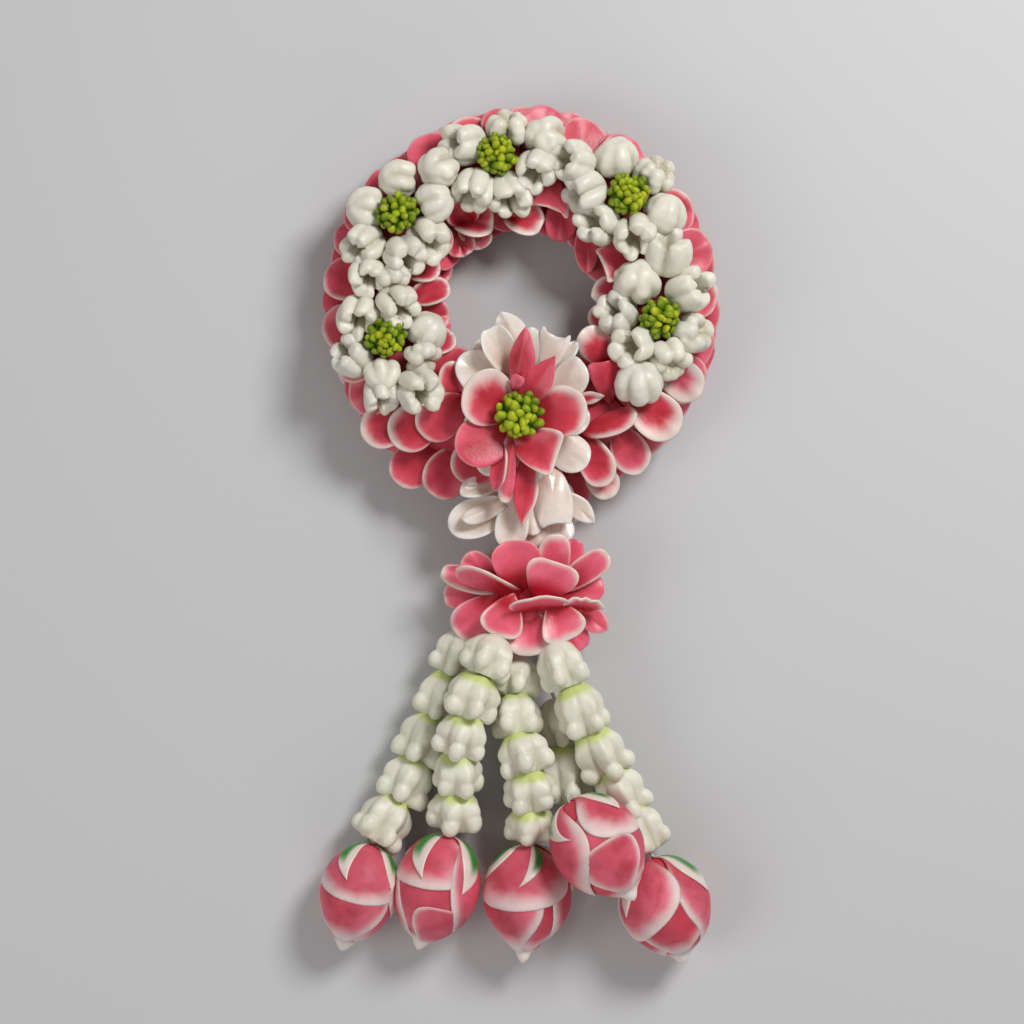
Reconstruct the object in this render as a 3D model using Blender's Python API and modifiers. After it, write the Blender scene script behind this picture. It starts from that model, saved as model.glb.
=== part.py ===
"""Hand-made flower garland: a petal ring with jasmine clusters, a bloom, a collar and five bud strands.

The garland lies flat on its back. +Y runs to the top of the ring, +X to the right, +Z to the viewer.
Lengths below are in millimetres and are scaled to metres by MM. The layout is worked out about the
centre of the ring, and the last step moves the whole garland so that the origin is at the middle
of its box, on the surface that it lies on.
"""
import math

import bmesh
import bpy
from mathutils import Matrix, Vector

MM = 0.001
GARLAND = "flower_garland"

# The ring
RING_RADIUS = 34.6
HOLE_RADIUS = 18.9
CORE_RADIUS = 9.0
CORE_SIDES = 10
CORE_AXIS_Z = CORE_RADIUS * math.cos(math.pi / CORE_SIDES)
CORE_TOP_Z = 2 * CORE_AXIS_Z
SEGMENTS = 8
SEGMENT_ANGLE = 360 / SEGMENTS
SEGMENT_GAP = 0.3
THREAD_HOLE = 1.3
RING_THREAD_RADIUS = 0.8

# Petal blades
BLADE = 0.75
OUTLINE_POINTS = 7
BASE_NARROW, NARROW_SWELL, WIDEST_SHARE = 0.62, 0.38, 0.72

# Rows of ring petals: angles as shares of a segment, root and tip as (radius, z), width, tilt, form
OUTER_ROW = ((1 / 6, 3 / 6, 5 / 6), (37.0, 15.0), (50.4, 12.4), 13.6, -13, dict(cup=0.4, curl=-0.6))
LOWER_ROW = ((2 / 12, 8 / 12), (40.6, 6.0), (49.2, 5.0), 16.6, -14, dict(cup=0.4, curl=0.8))
INNER_ROW = ((1 / 4, 3 / 4), (31.0, 14.6), (HOLE_RADIUS, 12.0), 11.0, -16, dict(cup=0.6, curl=1.4))
SCALES = ((33.4, 14.4), (47.0, 16.8), 14.0, -9, dict(cup=0.3, curl=-0.5))
SCALE_ANGLES = (213, 235, 252, 288, 305, 327)
NECK_ANGLE, BESIDE_NECK = 270, 14

# Floret clusters: centre as radius and angle on the ring, florets as offsets from the ring centre
FLORET_RADIUS = 5.0
FLORET_LOBES = 5
FLORET_CLEAR = 13.9
FLORET_LOW_Z = 20.2
HUB_Z = 18.6
FLORET_LOBE_DEPTH, FLORET_FLAT, FLORET_DIMPLE = 0.10, 0.86, 0.45
FLORET_LEAN = 0.35
KNOB_SUNK = 0.80
DOME_LIFT, DOME_FLAT = 5.9, 0.62
CENTRE_SIZE, BLOOM_CENTRE_SIZE = 4.4, 5.4
CLUSTERS = (
    (34.5, 193.6, ((-40.8, -2.6), (-29.9, 1.4), (-23.8, -6.6), (-25.0, -12.9), (-25.8, -21.1),
                   (-34.8, -18.4), (-41.5, -13.1))),
    (38.5, 143.6, ((-30.5, 31.6), (-22.5, 23.9), (-23.5, 16.1), (-29.3, 12.6), (-38.8, 15.1),
                   (-38.5, 24.1), (-36.6, 9.2))),
    (38.1, 99.4, ((-13.8, 40.1), (-2.9, 44.8), (5.8, 42.1), (3.3, 33.4), (-2.8, 27.4),
                  (-11.5, 28.9), (-19.5, 34.1))),
    (38.4, 45.9, ((14.0, 35.4), (24.3, 35.9), (33.5, 32.1), (36.0, 22.1), (28.5, 17.4),
                  (19.5, 20.1), (16.0, 28.4), (36.5, 12.6))),
    (34.9, 354.4, ((29.0, 5.1), (41.5, 2.9), (42.8, -7.4), (37.3, -13.9), (28.0, -10.4),
                   (24.3, -2.6), (29.5, -20.4))),
)

# The bloom, the neck and the collar
BLOOM_X, BLOOM_Y = -0.5, -27.4
BLOOM_Z = CORE_TOP_Z + 0.4
PETAL_CUPPED = dict(cup=0.5, curl=1.4)
PETAL_OPEN = dict(cup=0.6, curl=1.0)
PETAL_FOLDED = dict(cup=0.4, curl=1.0, fold=2.6, point=0.34)
PETAL_DROOPING = dict(cup=0.4, curl=-1.0)
# Rosette petals: angle, root radius, reach, width, rise, form
BLOOM_WHITE = (
    (96, 4.0, 24.6, 12.0, 3.0, PETAL_CUPPED), (72, 4.0, 21.0, 11.0, 3.6, PETAL_CUPPED),
    (122, 4.0, 20.0, 11.5, 2.6, PETAL_CUPPED), (40, 4.0, 17.5, 11.0, 2.6, PETAL_CUPPED),
    (152, 4.0, 17.0, 11.0, 3.4, PETAL_CUPPED), (8, 4.0, 17.0, 11.0, 3.0, PETAL_CUPPED),
    (186, 4.0, 15.5, 11.0, 2.8, PETAL_CUPPED), (332, 4.0, 17.5, 11.0, 3.2, PETAL_CUPPED),
    (212, 4.0, 15.5, 10.5, 3.6, PETAL_CUPPED),
)
BLOOM_PINK = (
    (148, 2.5, 15.0, 14.0, 5.6, PETAL_OPEN), (208, 2.5, 15.0, 13.0, 5.0, PETAL_OPEN),
    (18, 2.5, 16.0, 13.0, 5.0, PETAL_OPEN), (84, 2.5, 17.5, 8.0, 6.0, PETAL_FOLDED),
    (52, 2.5, 15.5, 7.0, 7.0, PETAL_FOLDED), (320, 2.5, 15.5, 10.5, 5.4, PETAL_FOLDED),
    (248, 2.5, 15.5, 7.5, 6.4, PETAL_FOLDED), (282, 2.5, 17.5, 8.0, 4.4, PETAL_FOLDED),
)
NECK_FRONT = (
    (186, 2.0, 17.5, 9.0, 2.2, PETAL_DROOPING), (214, 2.0, 18.5, 9.0, 1.6, PETAL_DROOPING),
    (242, 2.0, 12.0, 9.0, 4.2, PETAL_DROOPING), (270, 2.0, 9.2, 9.0, 4.6, PETAL_DROOPING),
    (298, 2.0, 11.2, 9.0, 4.2, PETAL_DROOPING), (326, 2.0, 18.0, 9.0, 1.8, PETAL_DROOPING),
    (354, 2.0, 16.5, 8.0, 2.4, PETAL_DROOPING),
)
NECK_BACK = ((196, 2.0, 14.0, 10.0, -3.0, PETAL_DROOPING), (344, 2.0, 14.0, 10.0, -3.0, PETAL_DROOPING))
NECK_FRONT_Y, NECK_BACK_Y, NECK_LAYER_Z = -47.6, -52.6, 3.4
NECK_TILT = -20
ROSETTE_TILT = -14
# Collar layers: petal count, z, rise, share of the collar's reach, width, first angle
COLLAR_LAYERS = ((7, 9.6, -2.2, 1.0, 12.5, 4.0), (8, 15.4, 1.0, 1.0, 12.0, 23.0),
                 (6, 18.3, 4.6, 0.84, 10.5, 8.0), (4, 20.1, 7.0, 0.56, 8.5, 33.0))
COLLAR_ROOT = 3.4
COLLAR_HEART_Z, COLLAR_HEART = 17.6, 4.2
STEM_Z = 12.5
STEM_X = 0.6
NECK_TOP_Y, NECK_END_Y = -44.0, -57.0
COLLAR_TOP_Y, COLLAR_END_Y = -57.3, -78.0
COLLAR_MID_Y = -72.6
COLLAR_REACH_X, COLLAR_REACH_Y = 20.8, 15.0
COLLAR_FRONT_Z = 17.0
COLLAR_LOW_REACH = 7.2
COLLAR_LIFT = 2.2
KNOT_Y = -81.6

# Strands: points of each thread from the knot to its bud, and the place of the first flower
FLOWER_OVERHANG = 0.9
FLOWER_RADIUS = 5.9
FLOWER_MOUTH = 6.7
FLOWER_RIBS, RIB_DEPTH = 5, 0.075
STRAND_THREAD_RADIUS = 0.5
STRANDS = (
    ((-6.0, -81.0, 11.5), (-12.8, -81.6, 9.2), (-17.4, -92.0, 7.4), (-22.8, -106.0, 6.8),
     (-28.8, -120.0, 6.8), (-34.2, -130.4, 8.1)),
    ((-3.2, -80.8, 15.0), (-5.8, -82.8, 17.6), (-10.9, -94.0, 19.7), (-14.8, -107.0, 17.6),
     (-16.2, -120.0, 13.4)),
    ((0.4, -84.4, 11.0), (-0.6, -88.2, 10.0), (-1.6, -98.0, 12.4), (-0.8, -108.0, 15.6),
     (1.6, -117.0, 16.3), (2.8, -128.0, 13.8)),
    ((4.4, -88.0, 9.0), (8.5, -99.0, 6.9), (10.3, -109.0, 6.8), (10.9, -120.8, 7.1)),
    ((5.0, -82.2, 15.4), (8.0, -84.0, 17.4), (12.6, -94.6, 18.8), (17.6, -108.0, 16.4),
     (23.5, -120.6, 10.8), (29.2, -131.6, 9.3)),
)
FIRST_FLOWER_POINT = 1
PATH_STEPS = 10
FLOWERS = (5, 5, 5, 2, 5)
BARE_ENDS = (0.9, 0.9, 0.9, 14.0, 0.9)

# Buds: top end, tip, widest radius
BUDS = (
    ((-37.6, -136.4, 10.04), (-44.8, -161.6, 10.04), 10.1),
    ((-16.9, -134.4, 10.21), (-23.9, -161.4, 10.21), 10.4),
    ((2.6, -137.4, 10.67), (0.6, -164.6, 10.67), 10.9),
    ((13.5, -125.9, 22.0), (28.5, -149.5, 26.6), 11.2),
    ((33.4, -139.4, 10.83), (41.2, -164.2, 10.83), 11.0),
)
BUD_HOLE = 1.2
SEPAL_HOLE = 1.8
BUD_ENTRY = 2.6
SEPAL_GAP = 0.4
SEPAL_THICKNESS = 0.9
SEPAL_POINT = 3.6
SEPALS = 5
WRAPS, WRAP_TURN, WRAP_STEP = 3, 1.4, 0.045

PINK = (0.72, 0.12, 0.16)
WHITE = (0.78, 0.74, 0.66)
LEAF_GREEN = (0.07, 0.28, 0.06)
YELLOW_GREEN = (0.42, 0.50, 0.04)
THREAD_WHITE = (0.80, 0.78, 0.72)


def clear_scene():
    for existing in list(bpy.data.objects):
        bpy.data.objects.remove(existing, do_unlink=True)


def material(name, colour, roughness):
    made = bpy.data.materials.new(name)
    made.use_nodes = True
    shader = made.node_tree.nodes["Principled BSDF"]
    shader.inputs["Base Color"].default_value = (*colour, 1.0)
    shader.inputs["Roughness"].default_value = roughness
    shader.inputs["Metallic"].default_value = 0.0
    return made


def new_object(name, mesh, collection, finish=None):
    made = bpy.data.objects.new(name, mesh)
    collection.objects.link(made)
    if finish is not None:
        made.data.materials.append(finish)
    return made


def mesh_from(bm, name):
    """A mesh from a bmesh built in millimetres, in metres."""
    bmesh.ops.recalc_face_normals(bm, faces=bm.faces)
    bmesh.ops.scale(bm, vec=(MM, MM, MM), verts=bm.verts)
    mesh = bpy.data.meshes.new(name)
    bm.to_mesh(mesh)
    bm.free()
    return mesh


def place(origin, along, facing):
    """A frame at origin, in millimetres, with local +Y along a direction and +Z turned to facing."""
    y_axis = Vector(along).normalized()
    x_axis = y_axis.cross(Vector(facing)).normalized()
    z_axis = x_axis.cross(y_axis)
    turn = Matrix((x_axis, y_axis, z_axis)).transposed().to_4x4()
    return Matrix.Translation(Vector(origin) * MM) @ turn


def polar(radius, degrees):
    angle = math.radians(degrees)
    return Vector((radius * math.cos(angle), radius * math.sin(angle), 0.0))


def petal(pieces, frame, length, width, cup=0.0, curl=0.0, fold=0.0, point=0.0):
    """A blade that grows along local +Y from its root at the origin and faces local +Z.

    cup lifts the side edges, curl lifts or drops the tip, fold is a V along the middle and
    point narrows the tip.
    """
    bm = bmesh.new()
    bmesh.ops.create_circle(bm, cap_ends=True, cap_tris=True, segments=OUTLINE_POINTS, radius=1.0)
    for vert in bm.verts:
        across, up = vert.co.x, (vert.co.y + 1.0) / 2.0
        narrow = BASE_NARROW + NARROW_SWELL * math.sin(math.pi * up * WIDEST_SHARE)
        narrow -= point * up * up
        x = across * narrow * width / 2
        y = up * length
        side = abs(across)
        vert.co = (x, y, cup * side * side + fold * side * up + curl * up * up)
    mesh = mesh_from(bm, "petal_blade")
    blade = new_object("petal_blade", mesh, pieces)
    blade.matrix_world = frame
    shell = blade.modifiers.new("blade", "SOLIDIFY")
    shell.thickness = BLADE * MM
    shell.offset = 0.0
    return blade


def ball(pieces, centre, radius):
    bm = bmesh.new()
    bmesh.ops.create_icosphere(bm, subdivisions=1, radius=radius)
    made = new_object("ball", mesh_from(bm, "ball"), pieces)
    made.location = Vector(centre) * MM
    return made


def rod(pieces, start, end, radius, sides=6, end_radius=None):
    """A closed bar from start to end."""
    start, end = Vector(start), Vector(end)
    bm = bmesh.new()
    bmesh.ops.create_cone(bm, cap_ends=True, segments=sides, radius1=radius,
                          radius2=radius if end_radius is None else end_radius,
                          depth=(end - start).length)
    made = new_object("rod", mesh_from(bm, "rod"), pieces)
    turn = (end - start).to_track_quat("Z", "Y").to_matrix().to_4x4()
    made.matrix_world = Matrix.Translation((start + end) / 2 * MM) @ turn
    return made


def cord(pieces, points, radius):
    """A thread along straight runs between points, as a closed four-sided tube."""
    curve = bpy.data.curves.new("cord", "CURVE")
    curve.dimensions = "3D"
    curve.bevel_depth = radius * MM
    curve.bevel_resolution = 0
    curve.use_fill_caps = True
    spline = curve.splines.new("POLY")
    spline.points.add(len(points) - 1)
    for slot, point in zip(spline.points, points):
        slot.co = (*(Vector(point) * MM), 1.0)
    drawn = bpy.data.objects.new("cord", curve)
    bpy.context.scene.collection.objects.link(drawn)
    bpy.context.view_layer.update()
    mesh = bpy.data.meshes.new_from_object(drawn.evaluated_get(bpy.context.evaluated_depsgraph_get()))
    bpy.data.objects.remove(drawn, do_unlink=True)
    bm = bmesh.new()
    bm.from_mesh(mesh)
    bmesh.ops.remove_doubles(bm, verts=bm.verts, dist=0.000001)
    bmesh.ops.recalc_face_normals(bm, faces=bm.faces)
    bm.to_mesh(mesh)
    bm.free()
    return new_object("cord", mesh, pieces)


def turned(name, profile, steps, collection, finish=None, shape=None):
    """A closed profile of (radius, distance along the axis) spun about local +Y.

    shape takes a turned point's radius, distance and angle, and gives its new radius and distance.
    """
    bm = bmesh.new()
    verts = [bm.verts.new((radius, distance, 0.0)) for radius, distance in profile]
    edges = [bm.edges.new((verts[i - 1], verts[i])) for i in range(len(verts))]
    bmesh.ops.spin(bm, geom=verts + edges, cent=(0, 0, 0), axis=(0, 1, 0), angle=2 * math.pi,
                   steps=steps, use_merge=True)
    if shape is not None:
        for vert in bm.verts:
            angle = math.atan2(vert.co.z, vert.co.x)
            radius, distance = shape(math.hypot(vert.co.x, vert.co.z), vert.co.y, angle)
            vert.co = (radius * math.cos(angle), distance, radius * math.sin(angle))
    return new_object(name, mesh_from(bm, name), collection, finish)


def largest_body(bm):
    """Keeps the largest closed body: sealed hollows and loose scraps go."""
    left = set(bm.verts)
    bodies = []
    while left:
        stack = [left.pop()]
        body = set(stack)
        while stack:
            for edge in stack.pop().link_edges:
                for vert in edge.verts:
                    if vert in left:
                        left.remove(vert)
                        body.add(vert)
                        stack.append(vert)
        bodies.append(body)
    bodies.sort(key=len)
    scraps = [vert for body in bodies[:-1] for vert in body]
    bmesh.ops.delete(bm, geom=scraps, context="VERTS")


def fuse(name, base, pieces, collection, finish, solver="EXACT"):
    """One solid from a base and every object in the pieces collection, which is then emptied."""
    union = base.modifiers.new("fuse", "BOOLEAN")
    union.operation = "UNION"
    union.operand_type = "COLLECTION"
    union.collection = pieces
    union.solver = solver
    bpy.context.view_layer.update()
    evaluated = base.evaluated_get(bpy.context.evaluated_depsgraph_get())
    mesh = bpy.data.meshes.new_from_object(evaluated)
    mesh.transform(base.matrix_world)
    for used in list(pieces.objects) + [base]:
        bpy.data.objects.remove(used, do_unlink=True)
    bm = bmesh.new()
    bm.from_mesh(mesh)
    bmesh.ops.remove_doubles(bm, verts=bm.verts, dist=0.000001)
    bmesh.ops.dissolve_degenerate(bm, edges=bm.edges, dist=0.0000005)
    bmesh.ops.triangulate(bm, faces=bm.faces)
    largest_body(bm)
    bm.to_mesh(mesh)
    bm.free()
    mesh.materials.clear()
    mesh.name = name
    made = new_object(name, mesh, collection, finish)
    mesh.shade_smooth()
    mesh.set_sharp_from_angle(angle=math.radians(40))
    return made


def core_segment(index, collection):
    """An eighth of the ring's core, with a hole along its middle for the ring's thread."""
    gap = math.degrees(SEGMENT_GAP / 2 / (RING_RADIUS - CORE_RADIUS))
    start = math.radians(index * SEGMENT_ANGLE + gap)
    sweep = math.radians(SEGMENT_ANGLE - 2 * gap)
    bm = bmesh.new()
    for radius, sides in ((CORE_RADIUS, CORE_SIDES), (THREAD_HOLE, 6)):
        upright = Matrix.Translation((RING_RADIUS, 0, CORE_AXIS_Z)) @ Matrix.Rotation(math.pi / 2, 4, "X")
        upright = upright @ Matrix.Rotation(math.pi / sides, 4, "Z")
        loop = bmesh.ops.create_circle(bm, segments=sides, radius=radius,
                                       matrix=Matrix.Rotation(start, 4, "Z") @ upright)["verts"]
        edges = list({edge for vert in loop for edge in vert.link_edges})
        bmesh.ops.spin(bm, geom=loop + edges, cent=(0, 0, 0), axis=(0, 0, 1), angle=sweep, steps=3)
    open_edges = [edge for edge in bm.edges if edge.is_boundary]
    for wanted in (start, start + sweep):
        end = []
        for edge in open_edges:
            middle = (edge.verts[0].co + edge.verts[1].co) / 2
            turn = math.atan2(middle.y, middle.x) - wanted
            if abs(math.remainder(turn, 2 * math.pi)) < 0.01:
                end.append(edge)
        bmesh.ops.triangle_fill(bm, edges=end, use_beauty=True)
    return new_object("core", mesh_from(bm, "core"), collection)


def ring_row(pieces, angles, root_at, tip_at, width, tilt, form):
    """Petals from the core's side, each turned about its own length so that it overlaps the next."""
    for degrees in angles:
        root = polar(root_at[0], degrees) + Vector((0, 0, root_at[1]))
        tip = polar(tip_at[0], degrees) + Vector((0, 0, tip_at[1]))
        sideways = polar(1.0, degrees + 90)
        facing = Vector((0, 0, 1)) + sideways * math.tan(math.radians(tilt))
        petal(pieces, place(root, tip - root, facing), (tip - root).length, width, **form)


def ring_segment(index, parts, pieces, finish):
    start = index * SEGMENT_ANGLE
    base = core_segment(index, parts)
    for shares, *row in (OUTER_ROW, LOWER_ROW):
        angles = [start + SEGMENT_ANGLE * share for share in shares]
        ring_row(pieces, [a for a in angles if abs(a - NECK_ANGLE) > BESIDE_NECK], *row)
    shares, *row = INNER_ROW
    ring_row(pieces, [start + SEGMENT_ANGLE * share for share in shares], *row)
    ring_row(pieces, [a for a in SCALE_ANGLES if start <= a < start + SEGMENT_ANGLE], *SCALES)
    return fuse("ring_petals_%d" % (index + 1), base, pieces, parts, finish, solver="MANIFOLD")


def ring_thread(parts, finish):
    bpy.ops.mesh.primitive_torus_add(major_radius=RING_RADIUS * MM, minor_radius=RING_THREAD_RADIUS * MM,
                                     major_segments=24, minor_segments=5,
                                     location=(0, 0, CORE_AXIS_Z * MM))
    made = bpy.context.object
    made.name = "ring_thread"
    for collection in list(made.users_collection):
        collection.objects.unlink(made)
    parts.objects.link(made)
    made.data.materials.append(finish)
    return made


def floret(pieces, centre, outward):
    """A puffy five-lobed jasmine floret with a dimple where its lobes meet."""
    bm = bmesh.new()
    bmesh.ops.create_uvsphere(bm, u_segments=2 * FLORET_LOBES, v_segments=4, radius=1.0)
    for vert in bm.verts:
        angle = math.atan2(vert.co.y, vert.co.x)
        flat = math.hypot(vert.co.x, vert.co.y)
        lobes = 1.0 + FLORET_LOBE_DEPTH * math.cos(FLORET_LOBES * angle) * flat
        height = vert.co.z * FLORET_FLAT
        if vert.co.z > 0.95:
            height = FLORET_DIMPLE
        vert.co = (vert.co.x * lobes, vert.co.y * lobes, height)
    bmesh.ops.scale(bm, vec=(FLORET_RADIUS,) * 3, verts=bm.verts)
    made = new_object("floret", mesh_from(bm, "floret"), pieces)
    lean = (Vector((0, 0, 1)) + Vector(outward) * FLORET_LEAN).to_track_quat("Z", "Y").to_matrix().to_4x4()
    made.matrix_world = Matrix.Translation(Vector(centre) * MM) @ lean


def floret_z(x, y):
    """Florets ride over the core, and those at the ring's edges lie on its petals."""
    off_crown = math.hypot(x, y) - RING_RADIUS
    above = max(0.0, FLORET_CLEAR ** 2 - off_crown ** 2)
    return max(FLORET_LOW_Z, CORE_AXIS_Z + math.sqrt(above))


def floret_cluster(index, parts, pieces, finish):
    radius, degrees, florets = CLUSTERS[index]
    centre = polar(radius, degrees)
    hub = turned("hub", ((2.0, 0.0), (4.2, 0.0), (4.2, 1.6), (2.0, 1.6)), 8, parts)
    hub.matrix_world = place(centre + Vector((0, 0, HUB_Z - 0.8)), (0, 0, 1), (0, 1, 0))
    for x, y in florets:
        spot = Vector((x, y, floret_z(x, y)))
        outward = (spot - centre) * Vector((1, 1, 0))
        floret(pieces, spot, outward.normalized())
        rod(pieces, centre + outward.normalized() * 3.2 + Vector((0, 0, HUB_Z)),
            spot - outward.normalized() * 1.5 - Vector((0, 0, 0.6)), 0.8, sides=4, end_radius=1.4)
    return fuse("jasmine_cluster_%d" % (index + 1), hub, pieces, parts, finish)


def green_centre(name, centre, foot_z, size, parts, pieces, finish):
    """A dome of small knobs, raised at a sphere's twelve evenly spaced points, on a short stem."""
    base = rod(parts, (centre.x, centre.y, foot_z), (centre.x, centre.y, foot_z + DOME_LIFT), 1.3)
    bm = bmesh.new()
    bmesh.ops.create_icosphere(bm, subdivisions=2, radius=size)
    for vert in bm.verts:
        if len(vert.link_edges) != 5:
            vert.co *= KNOB_SUNK
        vert.co.z *= DOME_FLAT
    dome = new_object("dome", mesh_from(bm, "dome"), pieces)
    dome.location = Vector((centre.x, centre.y, foot_z + DOME_LIFT)) * MM
    return fuse(name, base, pieces, parts, finish)


def rosette(pieces, centre, z, layer, tilt=ROSETTE_TILT):
    """One layer of petals round a centre.

    Each blade is turned by tilt about its length, so that it lies over one neighbour and under the other.
    """
    for degrees, root, reach, width, rise, form in layer:
        inner = Vector((centre[0], centre[1], z)) + polar(root, degrees)
        outer = Vector((centre[0], centre[1], z + rise)) + polar(reach, degrees)
        facing = Vector((0, 0, 1)) + polar(1.0, degrees + 90) * math.tan(math.radians(tilt))
        petal(pieces, place(inner, outer - inner, facing), (outer - inner).length, width, **form)


def bloom(parts, pieces, pink, white, green):
    centre = (BLOOM_X, BLOOM_Y)
    hub = rod(parts, (*centre, BLOOM_Z), (*centre, BLOOM_Z + 2.6), 6.2, sides=12)
    rosette(pieces, centre, BLOOM_Z + 1.3, BLOOM_WHITE)
    fuse("bloom_white_petals", hub, pieces, parts, white)

    base_z = BLOOM_Z + 3.0
    hub = rod(parts, (*centre, base_z), (*centre, base_z + 3.4), 5.2, sides=12, end_radius=4.0)
    rosette(pieces, centre, base_z + 2.2, BLOOM_PINK)
    fuse("bloom_pink_petals", hub, pieces, parts, pink)
    green_centre("bloom_green_centre", Vector((*centre, 0.0)), base_z + 3.8, BLOOM_CENTRE_SIZE,
                 parts, pieces, green)


def stem_sleeve(name, top_y, end_y, radius, parts):
    """A tube along the stem's thread, which petals grow from."""
    profile = ((THREAD_HOLE, top_y), (radius, top_y), (radius, end_y), (THREAD_HOLE, end_y))
    made = turned(name, profile, 10, parts)
    made.location = Vector((STEM_X, 0.0, STEM_Z)) * MM
    return made


def neck(parts, pieces, finish):
    sleeve = stem_sleeve("neck_sleeve", NECK_TOP_Y, NECK_END_Y, 4.0, parts)
    rosette(pieces, (STEM_X, NECK_FRONT_Y), STEM_Z + NECK_LAYER_Z, NECK_FRONT, NECK_TILT)
    rosette(pieces, (STEM_X, NECK_BACK_Y), STEM_Z - NECK_LAYER_Z, NECK_BACK, NECK_TILT)
    return fuse("neck_white_petals", sleeve, pieces, parts, finish)


def collar(parts, pieces, finish):
    sleeve = stem_sleeve("collar_sleeve", COLLAR_TOP_Y, COLLAR_END_Y, 5.0, parts)
    for count, z, rise, share, width, turn in COLLAR_LAYERS:
        layer = []
        for k in range(count):
            degrees = turn + 360 * k / count
            angle = math.radians(degrees)
            reach = share / math.hypot(math.cos(angle) / COLLAR_REACH_X, math.sin(angle) / COLLAR_REACH_Y)
            hangs = math.sin(angle) < -0.4
            lift = 0.0
            if hangs and z < COLLAR_FRONT_Z:
                reach = min(reach, COLLAR_LOW_REACH / -math.sin(angle))
            elif hangs:
                reach = reach / share
                lift = COLLAR_LIFT if z > COLLAR_FRONT_Z else 0.0
            layer.append((degrees, COLLAR_ROOT, reach, width, rise + lift, dict(cup=0.4, curl=0.8)))
        rosette(pieces, (STEM_X, COLLAR_MID_Y), z, layer)
    ball(pieces, (STEM_X, COLLAR_MID_Y, COLLAR_HEART_Z), COLLAR_HEART)
    return fuse("collar_pink_petals", sleeve, pieces, parts, finish)


def smooth_path(points, per_span=10):
    """Points on a smooth curve through the given ones."""
    ends = [points[0]] + list(points) + [points[-1]]
    curve = []
    for i in range(1, len(ends) - 2):
        a, b, c, d = (Vector(p) for p in ends[i - 1:i + 3])
        for k in range(per_span):
            t = k / per_span
            curve.append(0.5 * (2 * b + (c - a) * t + (2 * a - 5 * b + 4 * c - d) * t * t
                                + (3 * b - a - 3 * c + d) * t ** 3))
    curve.append(Vector(points[-1]))
    return curve


def bud_entry(strand):
    """Where the strand's thread meets the line of its bud, just above the sepals."""
    top, tip, _ = BUDS[strand]
    return Vector(top) - (Vector(tip) - Vector(top)).normalized() * BUD_ENTRY


def flower_stations(strand):
    """Tops of the strand's flowers, evenly spaced along its thread, and the last one's end."""
    points = [Vector(point) for point in STRANDS[strand]] + [bud_entry(strand)]
    curve = smooth_path(points, PATH_STEPS)[FIRST_FLOWER_POINT * PATH_STEPS:]
    runs = [(b - a).length for a, b in zip(curve, curve[1:])]
    pitch = (sum(runs) - BARE_ENDS[strand]) / FLOWERS[strand]
    stations, done = [curve[0]], 0.0
    for start, end, run in zip(curve, curve[1:], runs):
        while len(stations) <= FLOWERS[strand] and done + run >= pitch * len(stations):
            share = (pitch * len(stations) - done) / run
            stations.append(start.lerp(end, share))
        done += run
    return stations


def crown_flower(name, top, toward, parts, finish):
    """A white bell of five ribs, open at the mouth, with a cap that sits in the next one's mouth."""
    length, body, mouth = (toward - top).length + FLOWER_OVERHANG, FLOWER_RADIUS, FLOWER_MOUTH
    profile = ((THREAD_HOLE, 0.0), (2.4, 0.0), (4.8, 2.9), (body, 6.4), (mouth, length - 2.2),
               (mouth * 0.84, length), (3.8, length - 2.5), (THREAD_HOLE, length - 2.9))

    def ribs(radius, distance, angle):
        share = max(0.0, min(1.0, (distance - 1.5) / 5.0))
        if radius < 4.0 and distance > length / 2:
            share = 0.0
        return radius * (1.0 - RIB_DEPTH * share * (1.0 - math.cos(FLOWER_RIBS * angle))), distance

    made = turned(name, profile, 10, parts, finish, shape=ribs)
    made.matrix_world = place(top, toward - top, (0, 0, 1))
    made.data.shade_smooth()
    made.data.set_sharp_from_angle(angle=math.radians(50))
    return made


def strands(parts, pieces, white, thread):
    """Five strings of crown flowers, and one set of threads that leaves a knot under the collar."""
    threads = rod(parts, (STEM_X, NECK_TOP_Y, STEM_Z), (STEM_X, KNOT_Y, STEM_Z), 1.0)
    ball(pieces, (STEM_X, KNOT_Y, STEM_Z), 2.2)
    for strand, points in enumerate(STRANDS):
        stations = flower_stations(strand)
        for k in range(FLOWERS[strand]):
            name = "crown_flower_%d_%d" % (strand + 1, k + 1)
            crown_flower(name, stations[k], stations[k + 1], parts, white)
        route = [Vector((STEM_X, KNOT_Y, STEM_Z)), Vector(points[0])] + stations
        bud_top, bud_tip, _ = BUDS[strand]
        inside = Vector(bud_top) + (Vector(bud_tip) - Vector(bud_top)) * 0.22
        route += [bud_entry(strand), Vector(bud_top), inside]
        cord(pieces, route, STRAND_THREAD_RADIUS)
    return fuse("tassel_threads", threads, pieces, parts, thread)


def bud_radius(share, widest):
    """Radius of the egg-shaped bud at a share of its length from the top."""
    return widest * math.sin(math.pi * share ** 0.86) ** 0.62 if 0.0 < share < 1.0 else 0.0


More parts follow.
